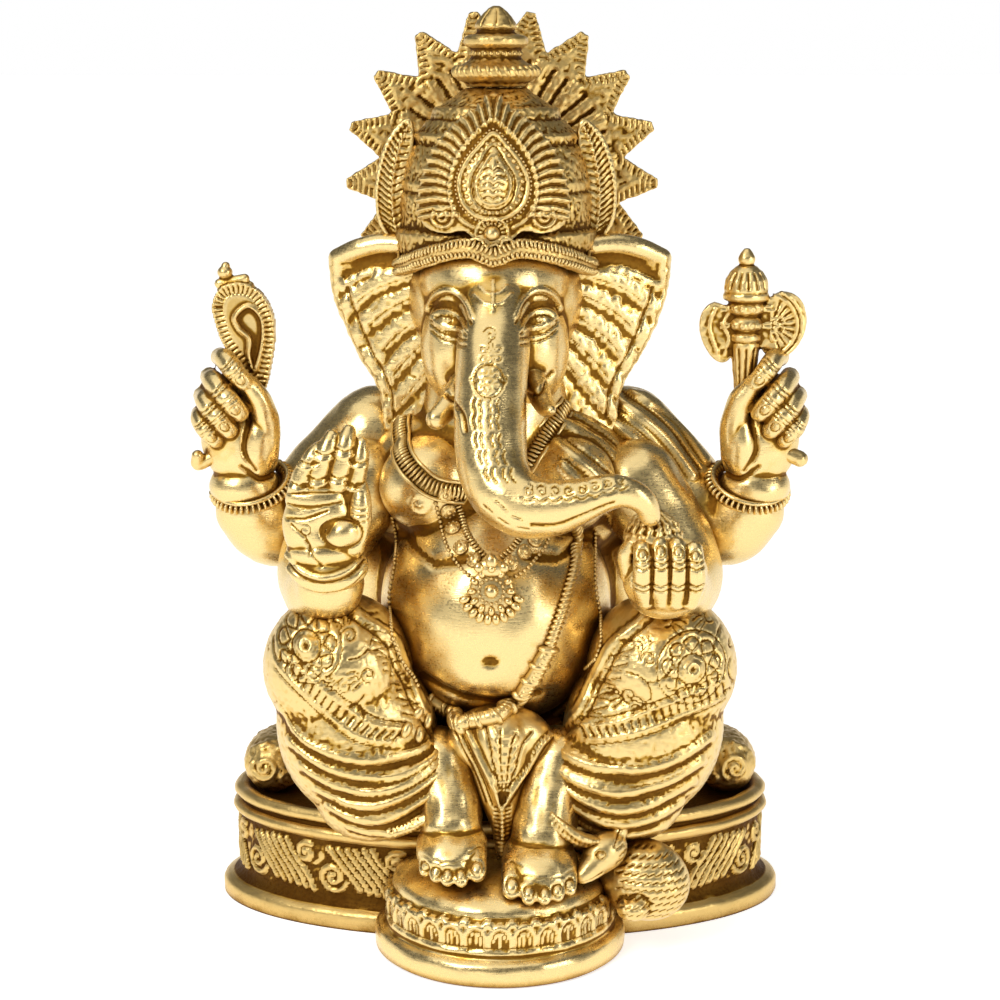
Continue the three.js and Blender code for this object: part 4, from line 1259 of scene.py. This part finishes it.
def nooseShape(bm):
    settings = nooseSettings
    addPlate(bm, curve(settings["outline"], 5, closed=True), -10, 3.2)
    addBall(bm, (-67.6, -10, 163.4), (1.9, 1.9, 1.6))
    addBall(bm, (-67.4, -10, 165), (1.1, 1.1, 1.0))
    addLimb(bm, [[-69, -10, 160.6, 1.3], [-62.8, -10, 161.8, 1.3]])
    addLimb(bm, [[-68.6, -10, 159, 1.0], [-61.4, -10, 160.2, 1.0]])
    addLimb(bm, settings["tail"])


def nooseCarve(clay):
    settings = nooseSettings
    outline, inner = curve(settings["outline"], 6, closed=True), curve(settings["inner"], 6, closed=True)
    both = smoothStep(0.2, 0.5, np.abs(clay.facing[:, 1]))
    clay.push(-clay.inside(inner, 1.1) * 0.7 * both)
    clay.settle()
    clay.lines([inner], 0.7, 0.9, both)
    clay.lines([outline], 0.9, 0.4, both)
    clay.settle()
    middle = outline.mean(0)
    spots, along = evenly(outline, 1.35)
    inward = np.column_stack([-along[:, 1], along[:, 0]])
    inward *= np.sign(np.einsum("ij,ij->i", inward, middle - spots))[:, None]
    clay.lines([(a + b * 0.3, a + b * 2.3) for a, b in zip(spots, inward)], 0.36, -0.55, both)


cast("noose", "chased", nooseShape, 0.3, 1, nooseCarve)

axeSettings = {
    "shaft": [(0, 126), (1.8, 126.4), (2.4, 132), (3.1, 140), (3.6, 145), (3.6, 145.8), (3.2, 146.2),
              (3.9, 146.8), (3.9, 148),
              (3.2, 148.4), (3.2, 149), (4.1, 149.8), (4.2, 151), (3.8, 152), (3.2, 152.4), (3.3, 153),
              (4.3, 153.6),
              (4.5, 155.4), (4.0, 156), (5.6, 156.8), (5.7, 158), (5.3, 158.4), (5.5, 159.4), (5.2, 161.6),
              (4, 163.6),
              (2.6, 164.8), (1.7, 165.2), (2.1, 166), (2.1, 167), (1.5, 168.2), (0.7, 169.2), (0, 169.4)],
    "blade": [(63.6, 147), (64.4, 153), (66.4, 157), (70, 158.6), (74, 156.8), (75.6, 151.4), (74, 146),
              (70.6, 142.8),
              (66.6, 142.2)],
    "beard": [(58.4, 153.6), (55.6, 155), (52.6, 156), (49.9, 153.6), (49.2, 150), (50.2, 145.8), (53, 141.8),
              (56, 141.4), (58, 145)],
    "tail": [[61.4, -10, 127, 1.8], [66, -10.4, 121, 1.9], [74.6, -11.2, 117, 2.1]],
}


def axeShape(bm):
    settings = axeSettings
    addTurned(bm, settings["shaft"], (60.6, -10), steps=40)
    addPlate(bm, curve(settings["blade"], 5, closed=True), -10, 2.4)
    addPlate(bm, curve(settings["beard"], 5, closed=True), -10, 2.4)
    addLimb(bm, settings["tail"])


def axeCarve(clay):
    both = smoothStep(0.2, 0.5, np.abs(clay.facing[:, 1])) * (np.abs(clay.at[:, 0] - 60.6) > 3.4)
    centre = np.array((65.6, 150.4))
    fan = [scroll(centre, size, size, 0.42, -76, 1, 16) for size in (8.9, 7.6)]
    clay.lines(fan, 0.45, 0.45, both)
    clay.lines(rays(np.array((67, 150.4)), 2.2, 5.6, 9, -72, 162), 0.5, -0.45, both)
    clay.lines(petals(np.array((66, 150.4)), 1.6, 4.4, 4, 1.0, -60, 160), 0.4, 0.4, both)
    clay.lines([curve([(56.6, 154), (55, 150.6), (56.4, 147.4), (55.4, 143)]),
                curve([(53, 154.6), (51.6, 150), (53.6, 143.6)])],
               0.6, 0.45, both)
    level = clay.around(60.6, -10, 4)
    stem = (np.abs(clay.at[:, 0] - 60.6) < 6.2).astype(float)
    flutes = np.linspace(-12.56, 12.56, 11)
    clay.lines([[(u, 133), (u, 144.4)] for u in flutes], 0.7, -0.5, stem, level)
    clay.lines([[(u, 159.6), (u * 0.9, 163.4)] for u in np.linspace(-12.56, 12.56, 15)], 0.5, -0.45, stem,
               level)
    beads = [ring((u, height), 0.5, 8) for u in np.linspace(-12.1, 12.1, 12) for height in (150.4, 154.6)]
    clay.lines(beads, 0.5, 0.4, stem, level)
    clay.settle()
    clay.grain(1.4, 0.12, 22)


cast("axe", "chased", axeShape, 0.3, 1, axeCarve)

blessSettings = {
    "palm": [((-42, -46, 107.4), (9, 4.8, 10.6), (0, 0, 0)),
             ((-42.6, -46.6, 113.4), (7.6, 3.8, 4.8), (0, 4, 0)),
             ((-40.6, -43.4, 97), (9.6, 7.2, 6.2), (0, 0, 0)), ((-41.4, -45, 101), (9, 6, 4.6), (0, 0, 0))],
    "mound": ((-36.8, -48.6, 106), (4.6, 3.6, 3.8), (0, -24, 0)),
    "thumb": [[-34.6, -47, 103, 3.2], [-32.6, -48, 109.4, 2.9], [-32.4, -47.8, 114, 2.5],
              [-32.4, -47, 117, 1.7]],
    "fingers": [[[-47.6, -46.6, 114, 2.6], [-46.2, -47, 119, 2.5], [-43.6, -46.6, 123.8, 2.2],
                 [-42, -46, 126, 1.7]],
                [[-43.2, -46.6, 114.6, 2.7], [-42, -47, 120.6, 2.6], [-40.2, -46.6, 126, 2.4],
                 [-39.2, -46, 128.6, 1.8]],
                [[-38.6, -46.6, 114.6, 2.7], [-37, -47, 121, 2.6], [-35.8, -46.4, 127, 2.4],
                 [-35.2, -45.6, 129.6, 1.8]],
                [[-35.4, -46, 114, 2.4], [-33.4, -46.4, 119, 2.3], [-32.4, -46, 124, 2.1],
                 [-32.2, -45.4, 126.8, 1.6]]],
}


def blessShape(bm):
    for centre, radii, turn in (*blessSettings["palm"], blessSettings["mound"]):
        addBall(bm, centre, radii, turn)
    for stations in (blessSettings["thumb"], *blessSettings["fingers"]):
        addLimb(bm, stations)


def blessCarve(clay):
    for stations in blessSettings["fingers"]:
        path = curve(np.array(stations)[:, [0, 2]], 8)
        for share in (0.2, 0.27, 0.52, 0.6):
            at = path[int(share * (len(path) - 1))]
            clay.lines([np.array([at + (-2.2, 0.5), at + (0, -0.3), at + (2.2, 0.2)])], 0.5,
                       0.35 if share in (0.2, 0.52) else -0.35)
    clay.lines([[(-49.8, 115.4), (-44, 116), (-39, 116), (-35.6, 115.4)]], 0.5, -0.4)
    clay.lines([curve([(-49.6, 113), (-44, 112.6), (-37, 113.6)]),
                curve([(-49.6, 109.6), (-45, 110), (-40, 111.8)])], 0.7, -0.45)
    clay.lines([curve([(-48.6, 108.4), (-45, 105), (-43.6, 101.4), (-41.6, 98.6)])], 0.6, -0.35)
    clay.lines([ring((-36.6, 106.4), 4.8, 28, 0.74)], 0.6, -0.45)
    clay.settle()
    clay.lump((-41.4, -50, 107.4), (3.4, 4, 3), -0.7)
    clay.settle()
    lotus = np.array((-45.4, 107))
    clay.lines([scroll(lotus, 0.4, 1.7, 1.3), curve([(-45.4, 104.6), (-44.2, 103.2), (-44.6, 101)])], 0.35,
               -0.35)
    for rise, depth in ((0, 0.8), (-3.4, 0.7)):
        cuff = curve([(-50.4, 100.6 + rise), (-46, 97 + rise), (-41, 95.8 + rise), (-35.4, 97.4 + rise),
                      (-31.4, 101 + rise)])
        clay.lines([cuff], 1.2, depth)
        clay.lines([shifted(cuff, 0, -1.5)], 0.7, -0.6)
    clay.lines([[(-34.6, 109.6), (-32.4, 109), (-30.4, 109.6)], [(-34.4, 111), (-32.4, 110.6), (-30.6, 111)],
                [(-34.2, 112.4), (-32.4, 112), (-30.8, 112.4)]], 0.35, -0.3)
    clay.settle()
    clay.grain(4, 0.2, 23)


cast("blessing_hand", "polished", blessShape, 0.36, 2, blessCarve)

bowlSettings = {
    "palm": [((38.4, -49.5, 95.6), (9.8, 8.4, 9), (0, 0, 0)), ((38.4, -48, 91), (8.2, 7.6, 5.4), (0, 0, 0)),
             ((40.4, -42, 95), (8.8, 7, 7.6), (0, 0, 0))],
    "thumb": [[30.4, -50, 97, 2.8], [29.6, -52, 101.4, 2.5], [30.8, -53, 104.6, 2]],
    "fingers": [(32.8, 0.8), (36.9, 0), (41, 0.2), (45, 1.2)],  # place across, and how far the tip drops
}


def bowlShape(bm):
    for centre, radii, turn in bowlSettings["palm"]:
        addBall(bm, centre, radii, turn)
    addLimb(bm, bowlSettings["thumb"])
    for x, drop in bowlSettings["fingers"]:
        addLimb(bm, [[38.6 + (x - 38.6) * 0.86, -55, 91.4, 2.2], [x, -57.2, 96, 2.4],
                     [x, -57.8, 101 - drop, 2.35],
                     [x - 0.2, -56, 105 - drop, 2.1]])


def bowlCarve(clay):
    for x, drop in bowlSettings["fingers"]:
        for height in (94.6, 96, 100.2, 101.6):
            clay.lines([[(x - 2.1, height + 0.3), (x, height - 0.3), (x + 2.1, height + 0.3)]], 0.45, -0.42)
        clay.lines([ring((x - 0.1, 104 - drop), 1.2, 14)], 0.4, -0.35)
    for x in (34.9, 39, 43):
        clay.lines([[(x, 91), (x, 104)]], 0.5, -0.5)
    clay.settle()
    clay.grain(4, 0.22, 24)


cast("bowl_hand", "polished", bowlShape, 0.36, 2, bowlCarve)


def modakShape(bm):
    addTurned(bm, [(0, 103.6), (6.2, 103.8), (6.9, 105.2), (6.9, 106.6), (6.3, 107.2), (6.1, 108.4),
                   (4.8, 110), (2.8, 111.4),
                   (1.2, 112.3), (0, 112.6)], (35.6, -50), steps=60)


def modakCarve(clay):
    level = clay.around(35.6, -50, 6)
    clay.lines([[(u, 107.4), (u * 0.86, 111.6)] for u in np.linspace(-18.8, 18.8, 17)], 0.7, -0.6, 1.0, level)
    clay.settle()
    clay.grain(0.9, 0.4, 25)


cast("modak", "chased", modakShape, 0.32, 1, modakCarve)

mouseSettings = {
    "balls": [((35, -39.6, 18), (11.6, 9.2, 10), (0, 14, -18)),
              ((25.2, -46.2, 27.4), (6, 4.5, 4.7), (0, -24, 30)),
              ((28.6, -44.8, 31), (2, 1.4, 3), (0, 36, 20)), ((32, -47.6, 13.4), (4, 3.4, 3), (0, 0, 0))],
    "nose": [[24.4, -47.2, 26.4, 4], [21.6, -49.6, 24.4, 3], [19.8, -51, 23, 2]],
}


def mouseShape(bm):
    for centre, radii, turn in mouseSettings["balls"]:
        addBall(bm, centre, radii, turn)
    addLimb(bm, mouseSettings["nose"])


def mouseCarve(clay):
    fur = []
    for row in range(11):
        for column in range(11):
            foot = np.array((28 + column * 1.9 + (row % 2) * 0.9, 10.6 + row * 1.85))
            fur.append(np.array([foot, foot + (1.5, 0.6)]))
    clay.lines(fur, 0.4, -0.4)
    clay.lump((24, -50.6, 28), (1.2, 2, 1.1), 0.8)
    clay.settle()
    clay.lines([ring((24, 28.2), 1.2, 14, 0.8)], 0.4, -0.4)
    clay.lines([curve([(19.6, 21.6), (22, 22.4), (24.4, 23.6)]),
                curve([(27.4, 29.8), (28.4, 32), (29.4, 33.4)])], 0.5, -0.5)
    clay.lines([curve([(30.4, 16), (33.4, 17.4), (36.4, 15)])], 0.7, -0.5)


cast("mouse", "chased", mouseShape, 0.38, 4, mouseCarve)
print("hands and mouse done")

plinthSettings = {
    "radius": 73, "depth": 38 / 73, "middle": (0, 4), "steps": 560,
    "profile": [(0, 22.6), (30, 22.6), (58, 22.6), (60.4, 21), (62, 16), (64, 6), (65.6, 0), (69, 0),
                (72.4, 0), (72.7, 0.6),
                (72.7, 2), (72.7, 3.4), (72.3, 4.2), (71.2, 4.7), (69.8, 5.3), (68.7, 6.0), (68.1, 6.8),
                *[(67.7, z) for z in np.arange(7.4, 21.6, 0.5)], (67.8, 21.8), (68.6, 22.2), (69.5, 22.8),
                (69.9, 23.6),
                (69.6, 24.4), (68.6, 24.9), (67.4, 25.1), (66.9, 25.5), (66.9, 26), (67.6, 26.3),
                (68.7, 26.6), (69.4, 27.3),
                (69.4, 28.1), (68.8, 28.9), (67.6, 29.4), (66.4, 29.4), (65.2, 28.8), (64.4, 27.8),
                (63, 27.1),
                (59, 27), (52, 27), (45, 27), (30, 27), (0, 27)],
}


def plinthShape(bm):
    addTurned(bm, plinthSettings["profile"], plinthSettings["middle"], plinthSettings["depth"],
              plinthSettings["steps"])


def roundTheOval(clay):  # how far round the wall each point is, from the front, and its height
    (cx, cy), depth, radius = plinthSettings["middle"], plinthSettings["depth"], plinthSettings["radius"] - 5
    angle = np.arctan2(clay.at[:, 0] - cx, -(clay.at[:, 1] - cy) / depth)
    turns = np.linspace(-math.pi, math.pi, 721)
    line = np.column_stack([np.sin(turns) * radius, -np.cos(turns) * radius * depth])
    reached = np.concatenate([[0], np.cumsum(np.linalg.norm(np.diff(line, axis=0), axis=1))])
    return np.column_stack([np.interp(angle, turns, reached - reached[-1] / 2), clay.at[:, 2]])


def plinthCarve(clay):
    wall = roundTheOval(clay)
    outside = smoothStep(0.2, 0.6, np.hypot(clay.facing[:, 0], clay.facing[:, 1])) * (clay.at[:, 2] > 0.5)
    stems, leaves, veins = [], [], []
    for side in (-1, 1):
        for unit in range(6):
            start = 24 + unit * 24.6
            for step in range(6):  # long leaves that sweep down together
                s = start + step * 2.3
                blade = curve([(side * s, 8.4 + 0.3 * step), (side * (s + 2.2), 12.6), (side * (s + 6), 17),
                               (side * (s + 8.4), 20.6 - 0.2 * step)], 5)
                leaves.append(blade)
                veins.append(beside(blade, 1.05 * side))
            stems += [scroll((side * (start + 19), 12.6), 0.5, 4.0, 1.7, 90, -side),
                      scroll((side * (start + 2.2), 17.8), 0.4, 2.8, 1.4, 200, side)]
    clay.lines(leaves, 1.15, 1.0, outside, wall)
    clay.settle()
    clay.lines(stems, 1.0, 0.9, outside, wall)
    clay.lines(veins, 0.35, -0.35, outside, wall)
    clay.settle()
    low = smoothStep(7.2, 8, clay.at[:, 2]) * smoothStep(22, 21, clay.at[:, 2]) * outside
    clay.grain(1.3, 0.22, 31, low)
    clay.settle()
    top = smoothStep(0.5, 0.9, clay.facing[:, 2])
    clay.grain(6, 0.25, 32, outside * 0.8 + top * (clay.at[:, 2] > 24) * 0.8)


cast("plinth", "antique", plinthShape, None, 0, plinthCarve)

stoolSettings = {
    "middle": (0, -34), "steps": 340,
    "profile": [(0, 0), (14, 0), (29.6, 0), (30.7, 0.8), (30.75, 2.4), (30.75, 4), (30.5, 5.2), (29.8, 5.9),
                (28.8, 6.3),
                (28.2, 6.8), (28.4, 7.4), (28.5, 7.9), (28.2, 8.4),
                *[(27.4 + 0.06 * (z - 9), z) for z in np.arange(8.9, 14.6, 0.45)],
                (27.3, 14.8), (26.7, 15.3), (26.4, 15.9), (26.4, 16.6), (26, 17.5), (25.2, 18.4), (24, 19.3),
                (22, 20.4),
                (19, 21.4), (15, 22.2), (11, 22.7), (6, 22.9), (0, 23)],
}


def stoolShape(bm):
    addTurned(bm, stoolSettings["profile"], stoolSettings["middle"], steps=stoolSettings["steps"])


def stoolCarve(clay):
    around = clay.around(*stoolSettings["middle"], 27.6)
    ribs, arches = [], []
    for u in np.arange(-86.7, 86.7, 5.78):  # a ring of round petals
        arches.append(curve([(u - 2.5, 9), (u - 2.6, 11.6), (u - 1.5, 13.6), (u, 14.2), (u + 1.5, 13.6),
                             (u + 2.6, 11.6),
                             (u + 2.5, 9)]))
        arches.append(curve([(u + 2.1, 14.6), (u + 2.89, 15.2), (u + 3.6, 14.6)]))
        ribs += [curve([(u + lean, 9), (u + lean * 1.1, 11), (u + lean * 0.5, 12.6)]) for lean in (-1.2, 0,
                                                                                                   1.2)]
    clay.lines(arches, 0.9, 0.85, 1.0, around)
    clay.settle()
    clay.lines(ribs, 0.5, 0.45, 1.0, around)
    clay.settle()
    clay.grain(5, 0.3, 33, (clay.at[:, 2] > 1).astype(float))
    clay.grain(1.1, 0.18, 34, smoothStep(7, 8, clay.at[:, 2]) * smoothStep(16, 15.4, clay.at[:, 2]))


cast("footstool", "polished", stoolShape, None, 0, stoolCarve)

bolsterSettings = {"half": (59.5, 27.5), "z": 34.5, "radius": 7.4, "reach": (-8, 188)}


def bolsterLine(steps):
    first, last = bolsterSettings["reach"]
    turns = np.radians(np.linspace(first, last, steps))
    half = bolsterSettings["half"]
    return np.column_stack([half[0] * np.cos(turns), 4 + half[1] * np.sin(turns),
                            np.full(steps, bolsterSettings["z"])])


def bolsterShape(bm):
    line = bolsterLine(30)
    addLimb(bm, np.column_stack([line, np.full(30, bolsterSettings["radius"])]), 0.16)


def bolsterCarve(clay):
    line = bolsterLine(240)
    reached = np.concatenate([[0], np.cumsum(np.linalg.norm(np.diff(line, axis=0), axis=1))])
    gap = ((clay.at[:, None, :2] - line[None, ::4, :2]) ** 2).sum(2)
    nearest = gap.argmin(1)
    middle = line[::4][nearest]
    outward = np.linalg.norm((clay.at[:, :2] - (0, 4)) / bolsterSettings["half"], axis=1) - 1
    away = np.sign(outward) * np.linalg.norm(clay.at[:, :2] - middle[:, :2], axis=1)
    height = np.arctan2(clay.at[:, 2] - middle[:, 2], away)
    skin = np.column_stack([reached[::4][nearest], height * bolsterSettings["radius"]])
    ends = np.abs(clay.at[:, 0]) > 40
    curls = []
    for side in (-1, 1):
        curls += [scroll((side * 60.5, 35.4), 0.5, 3.6, 1.6, 20, side),
                  scroll((side * 54.6, 32.6), 0.5, 2.4, 1.3, 200, -side),
                  curve([(side * 66.4, 33), (side * 65, 38.4), (side * 60, 41)]),
                  curve([(side * 57, 40), (side * 53, 38.6), (side * 50, 35)])]
    clay.lines(curls, 0.8, 0.7, clay.front() * ends)
    back = smoothStep(0.0, 0.4, clay.facing[:, 1])
    span = reached[-1]
    swirls = []
    for at in np.arange(14, span - 10, 9.4):
        swirls += [scroll((at, 1.4), 0.5, 3.6, 1.5, at * 9, 1),
                   curve([(at + 3.6, -5), (at + 5, 0), (at + 3.8, 5.6)])]
    clay.lines(swirls, 0.75, 0.65, back, skin)
    clay.settle()
    for side in (-1, 1):
        clay.lines([curve([(side * (52.6 - step * 1.6), 30), (side * (50.6 - step * 1.6), 34),
                           (side * (51.6 - step * 1.6), 39)])
                    for step in range(4)], 0.5, -0.5, clay.front() * ends)
    clay.settle()
    clay.grain(1.3, 0.25, 35)


cast("seat_bolster", "antique", bolsterShape, 0.55, 4, bolsterCarve)

bodySkin = Surface(torso, head, *legs, drape)

necklaceSettings = {
    "collar": [[(-25.1, -7.7, 127), (-23.8, -13.1, 122.1), (-22.6, -24, 118.6), (-19.3, -27.9, 115.3),
                (-16, -28.2, 113.1),
                (-12.1, -27.6, 112), (-8, -27, 111.2)],
               [(3, -24, 113), (7.8, -23.1, 119.3), (11, -19, 124.3), (15.9, -10.9, 130.3)]],
    "discs": [(-13.3, 111.2), (-12.6, 107), (-11.4, 103), (-9.4, 99.4), (-6.2, 96.9), (2.6, 96.4),
              (5.8, 98.4), (8.4, 100.8),
              (10.2, 104)],
    "inner": [[(-10.9, 110.9), (-9.6, 106.4), (-8, 102.4), (-5.6, 99.6), (-4, 98)],
              [(0.4, 97.8), (3, 99.8), (5.6, 102.6), (7.4, 106)]],
    "outer": [[(-15.8, 110.4), (-14.8, 105.6), (-13.4, 100.6), (-11, 96.6), (-8, 94), (-5.4, 92.6)],
              [(1.4, 92.6), (5, 94.2), (8.4, 96.6), (11.4, 100), (13, 104)]],
    "pendant": (-2, 90.3),
    "thread": [(17.8, 106), (18.6, 101), (18.3, 96.6), (17.4, 92.6), (16, 88.9), (14.4, 84.2), (12.8, 80.2),
               (11.6, 76.8)],
    "belt": [(11.4, 76), (9.7, 73.1), (8.4, 70), (6.6, 67.2), (4.6, 63.6), (2.4, 60.9), (-0.4, 59.4),
             (-3.4, 58.6), (-6.6, 57.8),
             (-9.6, 57.4), (-13, 58.6), (-16.4, 60.8)],
    "cords": [[(-26.6, 103), (-25.6, 94.4), (-27, 84.1), (-24.6, 75.3), (-20, 65.8)],
              [(23.6, 99), (23.2, 88.5), (24.6, 77.6), (21, 68.6)]],
    "knots": [(-20, 59.6), (-17.6, 57.4), (-22.4, 57), (-19.6, 55)],
}


def frameRing(bm, centre, up, radius, count, radii, begin=0.0, span=360.0,
              detail=1):  # studs round a point on a surface
    up = Vector(up).normalized()
    side = Vector((1, 0, 0)) - Vector((1, 0, 0)).dot(up) * up
    side.normalize()
    tall = up.cross(side)
    if tall.z < 0:
        tall.negate()
    for step in range(count):
        angle = math.radians(begin + span * step / count)
        out = side * math.cos(angle) + tall * math.sin(angle)
        stud(bm, np.array(centre) + np.array(out) * radius, radii, out, up, detail=detail)


def necklaces(bm):
    settings = necklaceSettings
    for rail in settings["collar"]:
        spots, ups = bodySkin.near(curve(rail), 0.3)
        addRow(bm, spots, ups, 1.1, (0.5, 2.3, 1.1))
        for lift, size in ((2.5, 0.5), (-2.5, 0.5)):
            ways = np.gradient(spots, axis=0)
            aside = np.cross(ups, ways / np.linalg.norm(ways, axis=1)[:, None])
            addTube(bm, spots + aside * lift, size)
    for x, z in settings["discs"]:
        (spot,), (up,) = bodySkin.front([(x, z)], 0.2)
        stud(bm, spot, (2.0, 2.0, 0.9), up=up, detail=3)
        stud(bm, spot + np.array(up) * 0.7, (0.8, 0.8, 0.7), up=up, detail=2)
        frameRing(bm, spot + np.array(up) * 0.5, up, 1.5, 9, (0.34, 0.34, 0.34))
    for key, gap, radii in (("inner", 1.05, (0.42, 1.1, 0.8)), ("outer", 1.3, (0.6, 0.6, 0.55))):
        for rail in settings[key]:
            spots, ups = bodySkin.front(curve(rail), 0.15)
            addRow(bm, spots, ups, gap, radii)


applied("necklaces", "torso", "chased", necklaces)


def pendant(bm):
    (spot,), (up,) = bodySkin.front([necklaceSettings["pendant"]], 0.2, flat=0.5)
    stud(bm, spot, (5.4, 5.4, 0.9), up=up, detail=3)
    stud(bm, spot + np.array(up) * 1.1, (1.7, 1.7, 1.5), up=up, detail=3)
    frameRing(bm, spot + np.array(up) * 0.8, up, 3.0, 16, (0.5, 0.5, 0.7))
    frameRing(bm, spot + np.array(up) * 0.6, up, 4.7, 12, (1.2, 0.85, 1.0), detail=2)
    frameRing(bm, spot + np.array(up) * 0.2, up, 6.7, 10, (1.5, 1.0, 0.9), 197, 164, detail=2)
    top = spot + np.array((0, 0.4, 5.6))
    stud(bm, top, (3.6, 2.2, 1.1), (1, 0, 0), up, detail=3)
    stud(bm, top + (0, -0.6, 1.8), (1.5, 1.9, 1.0), (1, 0, 0), up, detail=2)
    for side in (-1, 1):
        stud(bm, top + (side * 3, -0.5, 0.2), (1.3, 1.3, 0.9), (1, 0, 0), up, detail=2)
    stud(bm, top + (0, -1.1, 0), (1, 1, 0.8), up=up, detail=2)


applied("pendant", "torso", "polished", pendant)


def sacredThread(bm):
    settings = necklaceSettings
    spots, ups = bodySkin.front(curve(settings["thread"]), 0.7)
    addTube(bm, spots, 1.1)
    addRow(bm, spots, ups, 1.35, (0.62, 2.0, 1.3), 38, detail=2)
    spots, ups = bodySkin.front(curve(settings["belt"]), 0.7)
    addTube(bm, spots, 2.0)
    addRow(bm, spots, ups, 4.4, (1.1, 2.9, 2.2), 20, detail=2)
    addRow(bm, spots + ups * 1.2, ups, 1.2, (0.42, 1.9, 1.1), 20)
    for rail in settings["cords"]:
        spots, ups = bodySkin.front(curve(rail), 0.2)
        addRow(bm, spots, ups, 1.25, (0.62, 0.62, 0.6))
    for spot in settings["knots"]:
        spots, ups = bodySkin.front([spot], 0.2)
        stud(bm, spots[0], (2.2, 1.3, 1.2), (0.6, 0, 0.8), ups[0], detail=2)


applied("sacredThread", "torso", "chased", sacredThread)
print("base and ornaments done")

studio = {
    "floor": 30.0, "floorColour": (0.86, 0.86, 0.85, 1), "floorGlow": 0.68,
    "horizon": 1.0, "room": 0.3, "ceiling": 0.12,  # how light it is behind, before and above the figure
    "sun": 1.0, "sunSize": 70, "sunTurn": (12, -10, 0), "aim": (0, 0, 0.11),
    "boxes": {"keyBox": ((-0.5, -0.62, 0.62), (0.32, 0.32), 3.4),
              "fillBox": ((0.62, -0.5, 0.3), (0.16, 0.4), 1.4)},
    "lens": 80.64, "cameraAt": (0, -560, 215), "tilt": 10.0, "shiftY": -0.046,
}

def makeStage():
    bm = bmesh.new()
    bmesh.ops.create_grid(bm, x_segments=1, y_segments=1, size=studio["floor"])
    floor = linked("floor", bm)
    paper = bpy.data.materials.new("palePaper")
    paper.use_nodes = True
    sheet = paper.node_tree.nodes["Principled BSDF"]
    sheet.inputs["Base Color"].default_value = studio["floorColour"]
    sheet.inputs["Roughness"].default_value = 0.9
    sheet.inputs["Specular IOR Level"].default_value = 0.1
    sheet.inputs["Emission Color"].default_value = (1, 1, 1, 1)
    sheet.inputs["Emission Strength"].default_value = studio["floorGlow"]
    floor.data.materials.append(paper)
    world = bpy.data.worlds.new("studioAir")
    scene.world = world
    world.use_nodes = True
    wire = Wire(world.node_tree)
    around = wire.node("ShaderNodeTexCoord", out="Generated")
    depth, height = [wire.node("ShaderNodeSeparateXYZ", inputs={0: around}, out=axis) for axis in (1, 2)]
    white, room, roof = [(*[studio[key]] * 3, 1) for key in ("horizon", "room", "ceiling")]
    shade = height.spread(0.1, 0.35).blend(depth.spread(-0.3, 0.4).blend(room, white), roof)
    world.node_tree.links.new(shade.socket, world.node_tree.nodes["Background"].inputs["Color"])


def softBox(name, at, size, watts):
    lamp = bpy.data.lights.new(name, "AREA")
    lamp.shape = "RECTANGLE"
    lamp.size, lamp.size_y = size
    lamp.energy = watts
    box = bpy.data.objects.new(name, lamp)
    scene.collection.objects.link(box)
    box.location = at
    box.rotation_euler = (Vector(studio["aim"]) - Vector(at)).to_track_quat("-Z", "Y").to_euler()


def makeCamera():
    lens = bpy.data.cameras.new("camera")
    lens.lens = studio["lens"]
    lens.sensor_width = 36
    lens.shift_y = studio["shiftY"]
    camera = bpy.data.objects.new("camera", lens)
    scene.collection.objects.link(camera)
    camera.location = place(*studio["cameraAt"])
    camera.rotation_euler = (math.radians(90 - studio["tilt"]), 0, 0)
    scene.camera = camera


def makeSun():
    lamp = bpy.data.lights.new("roofLight", "SUN")
    lamp.energy = studio["sun"]
    lamp.angle = math.radians(studio["sunSize"])
    sun = bpy.data.objects.new("roofLight", lamp)
    scene.collection.objects.link(sun)
    sun.rotation_euler = [math.radians(turn) for turn in studio["sunTurn"]]


makeStage()
makeSun()
for name, box in studio["boxes"].items():
    softBox(name, *box)
makeCamera()
scene.view_settings.view_transform = "Standard"
print("stage ready")
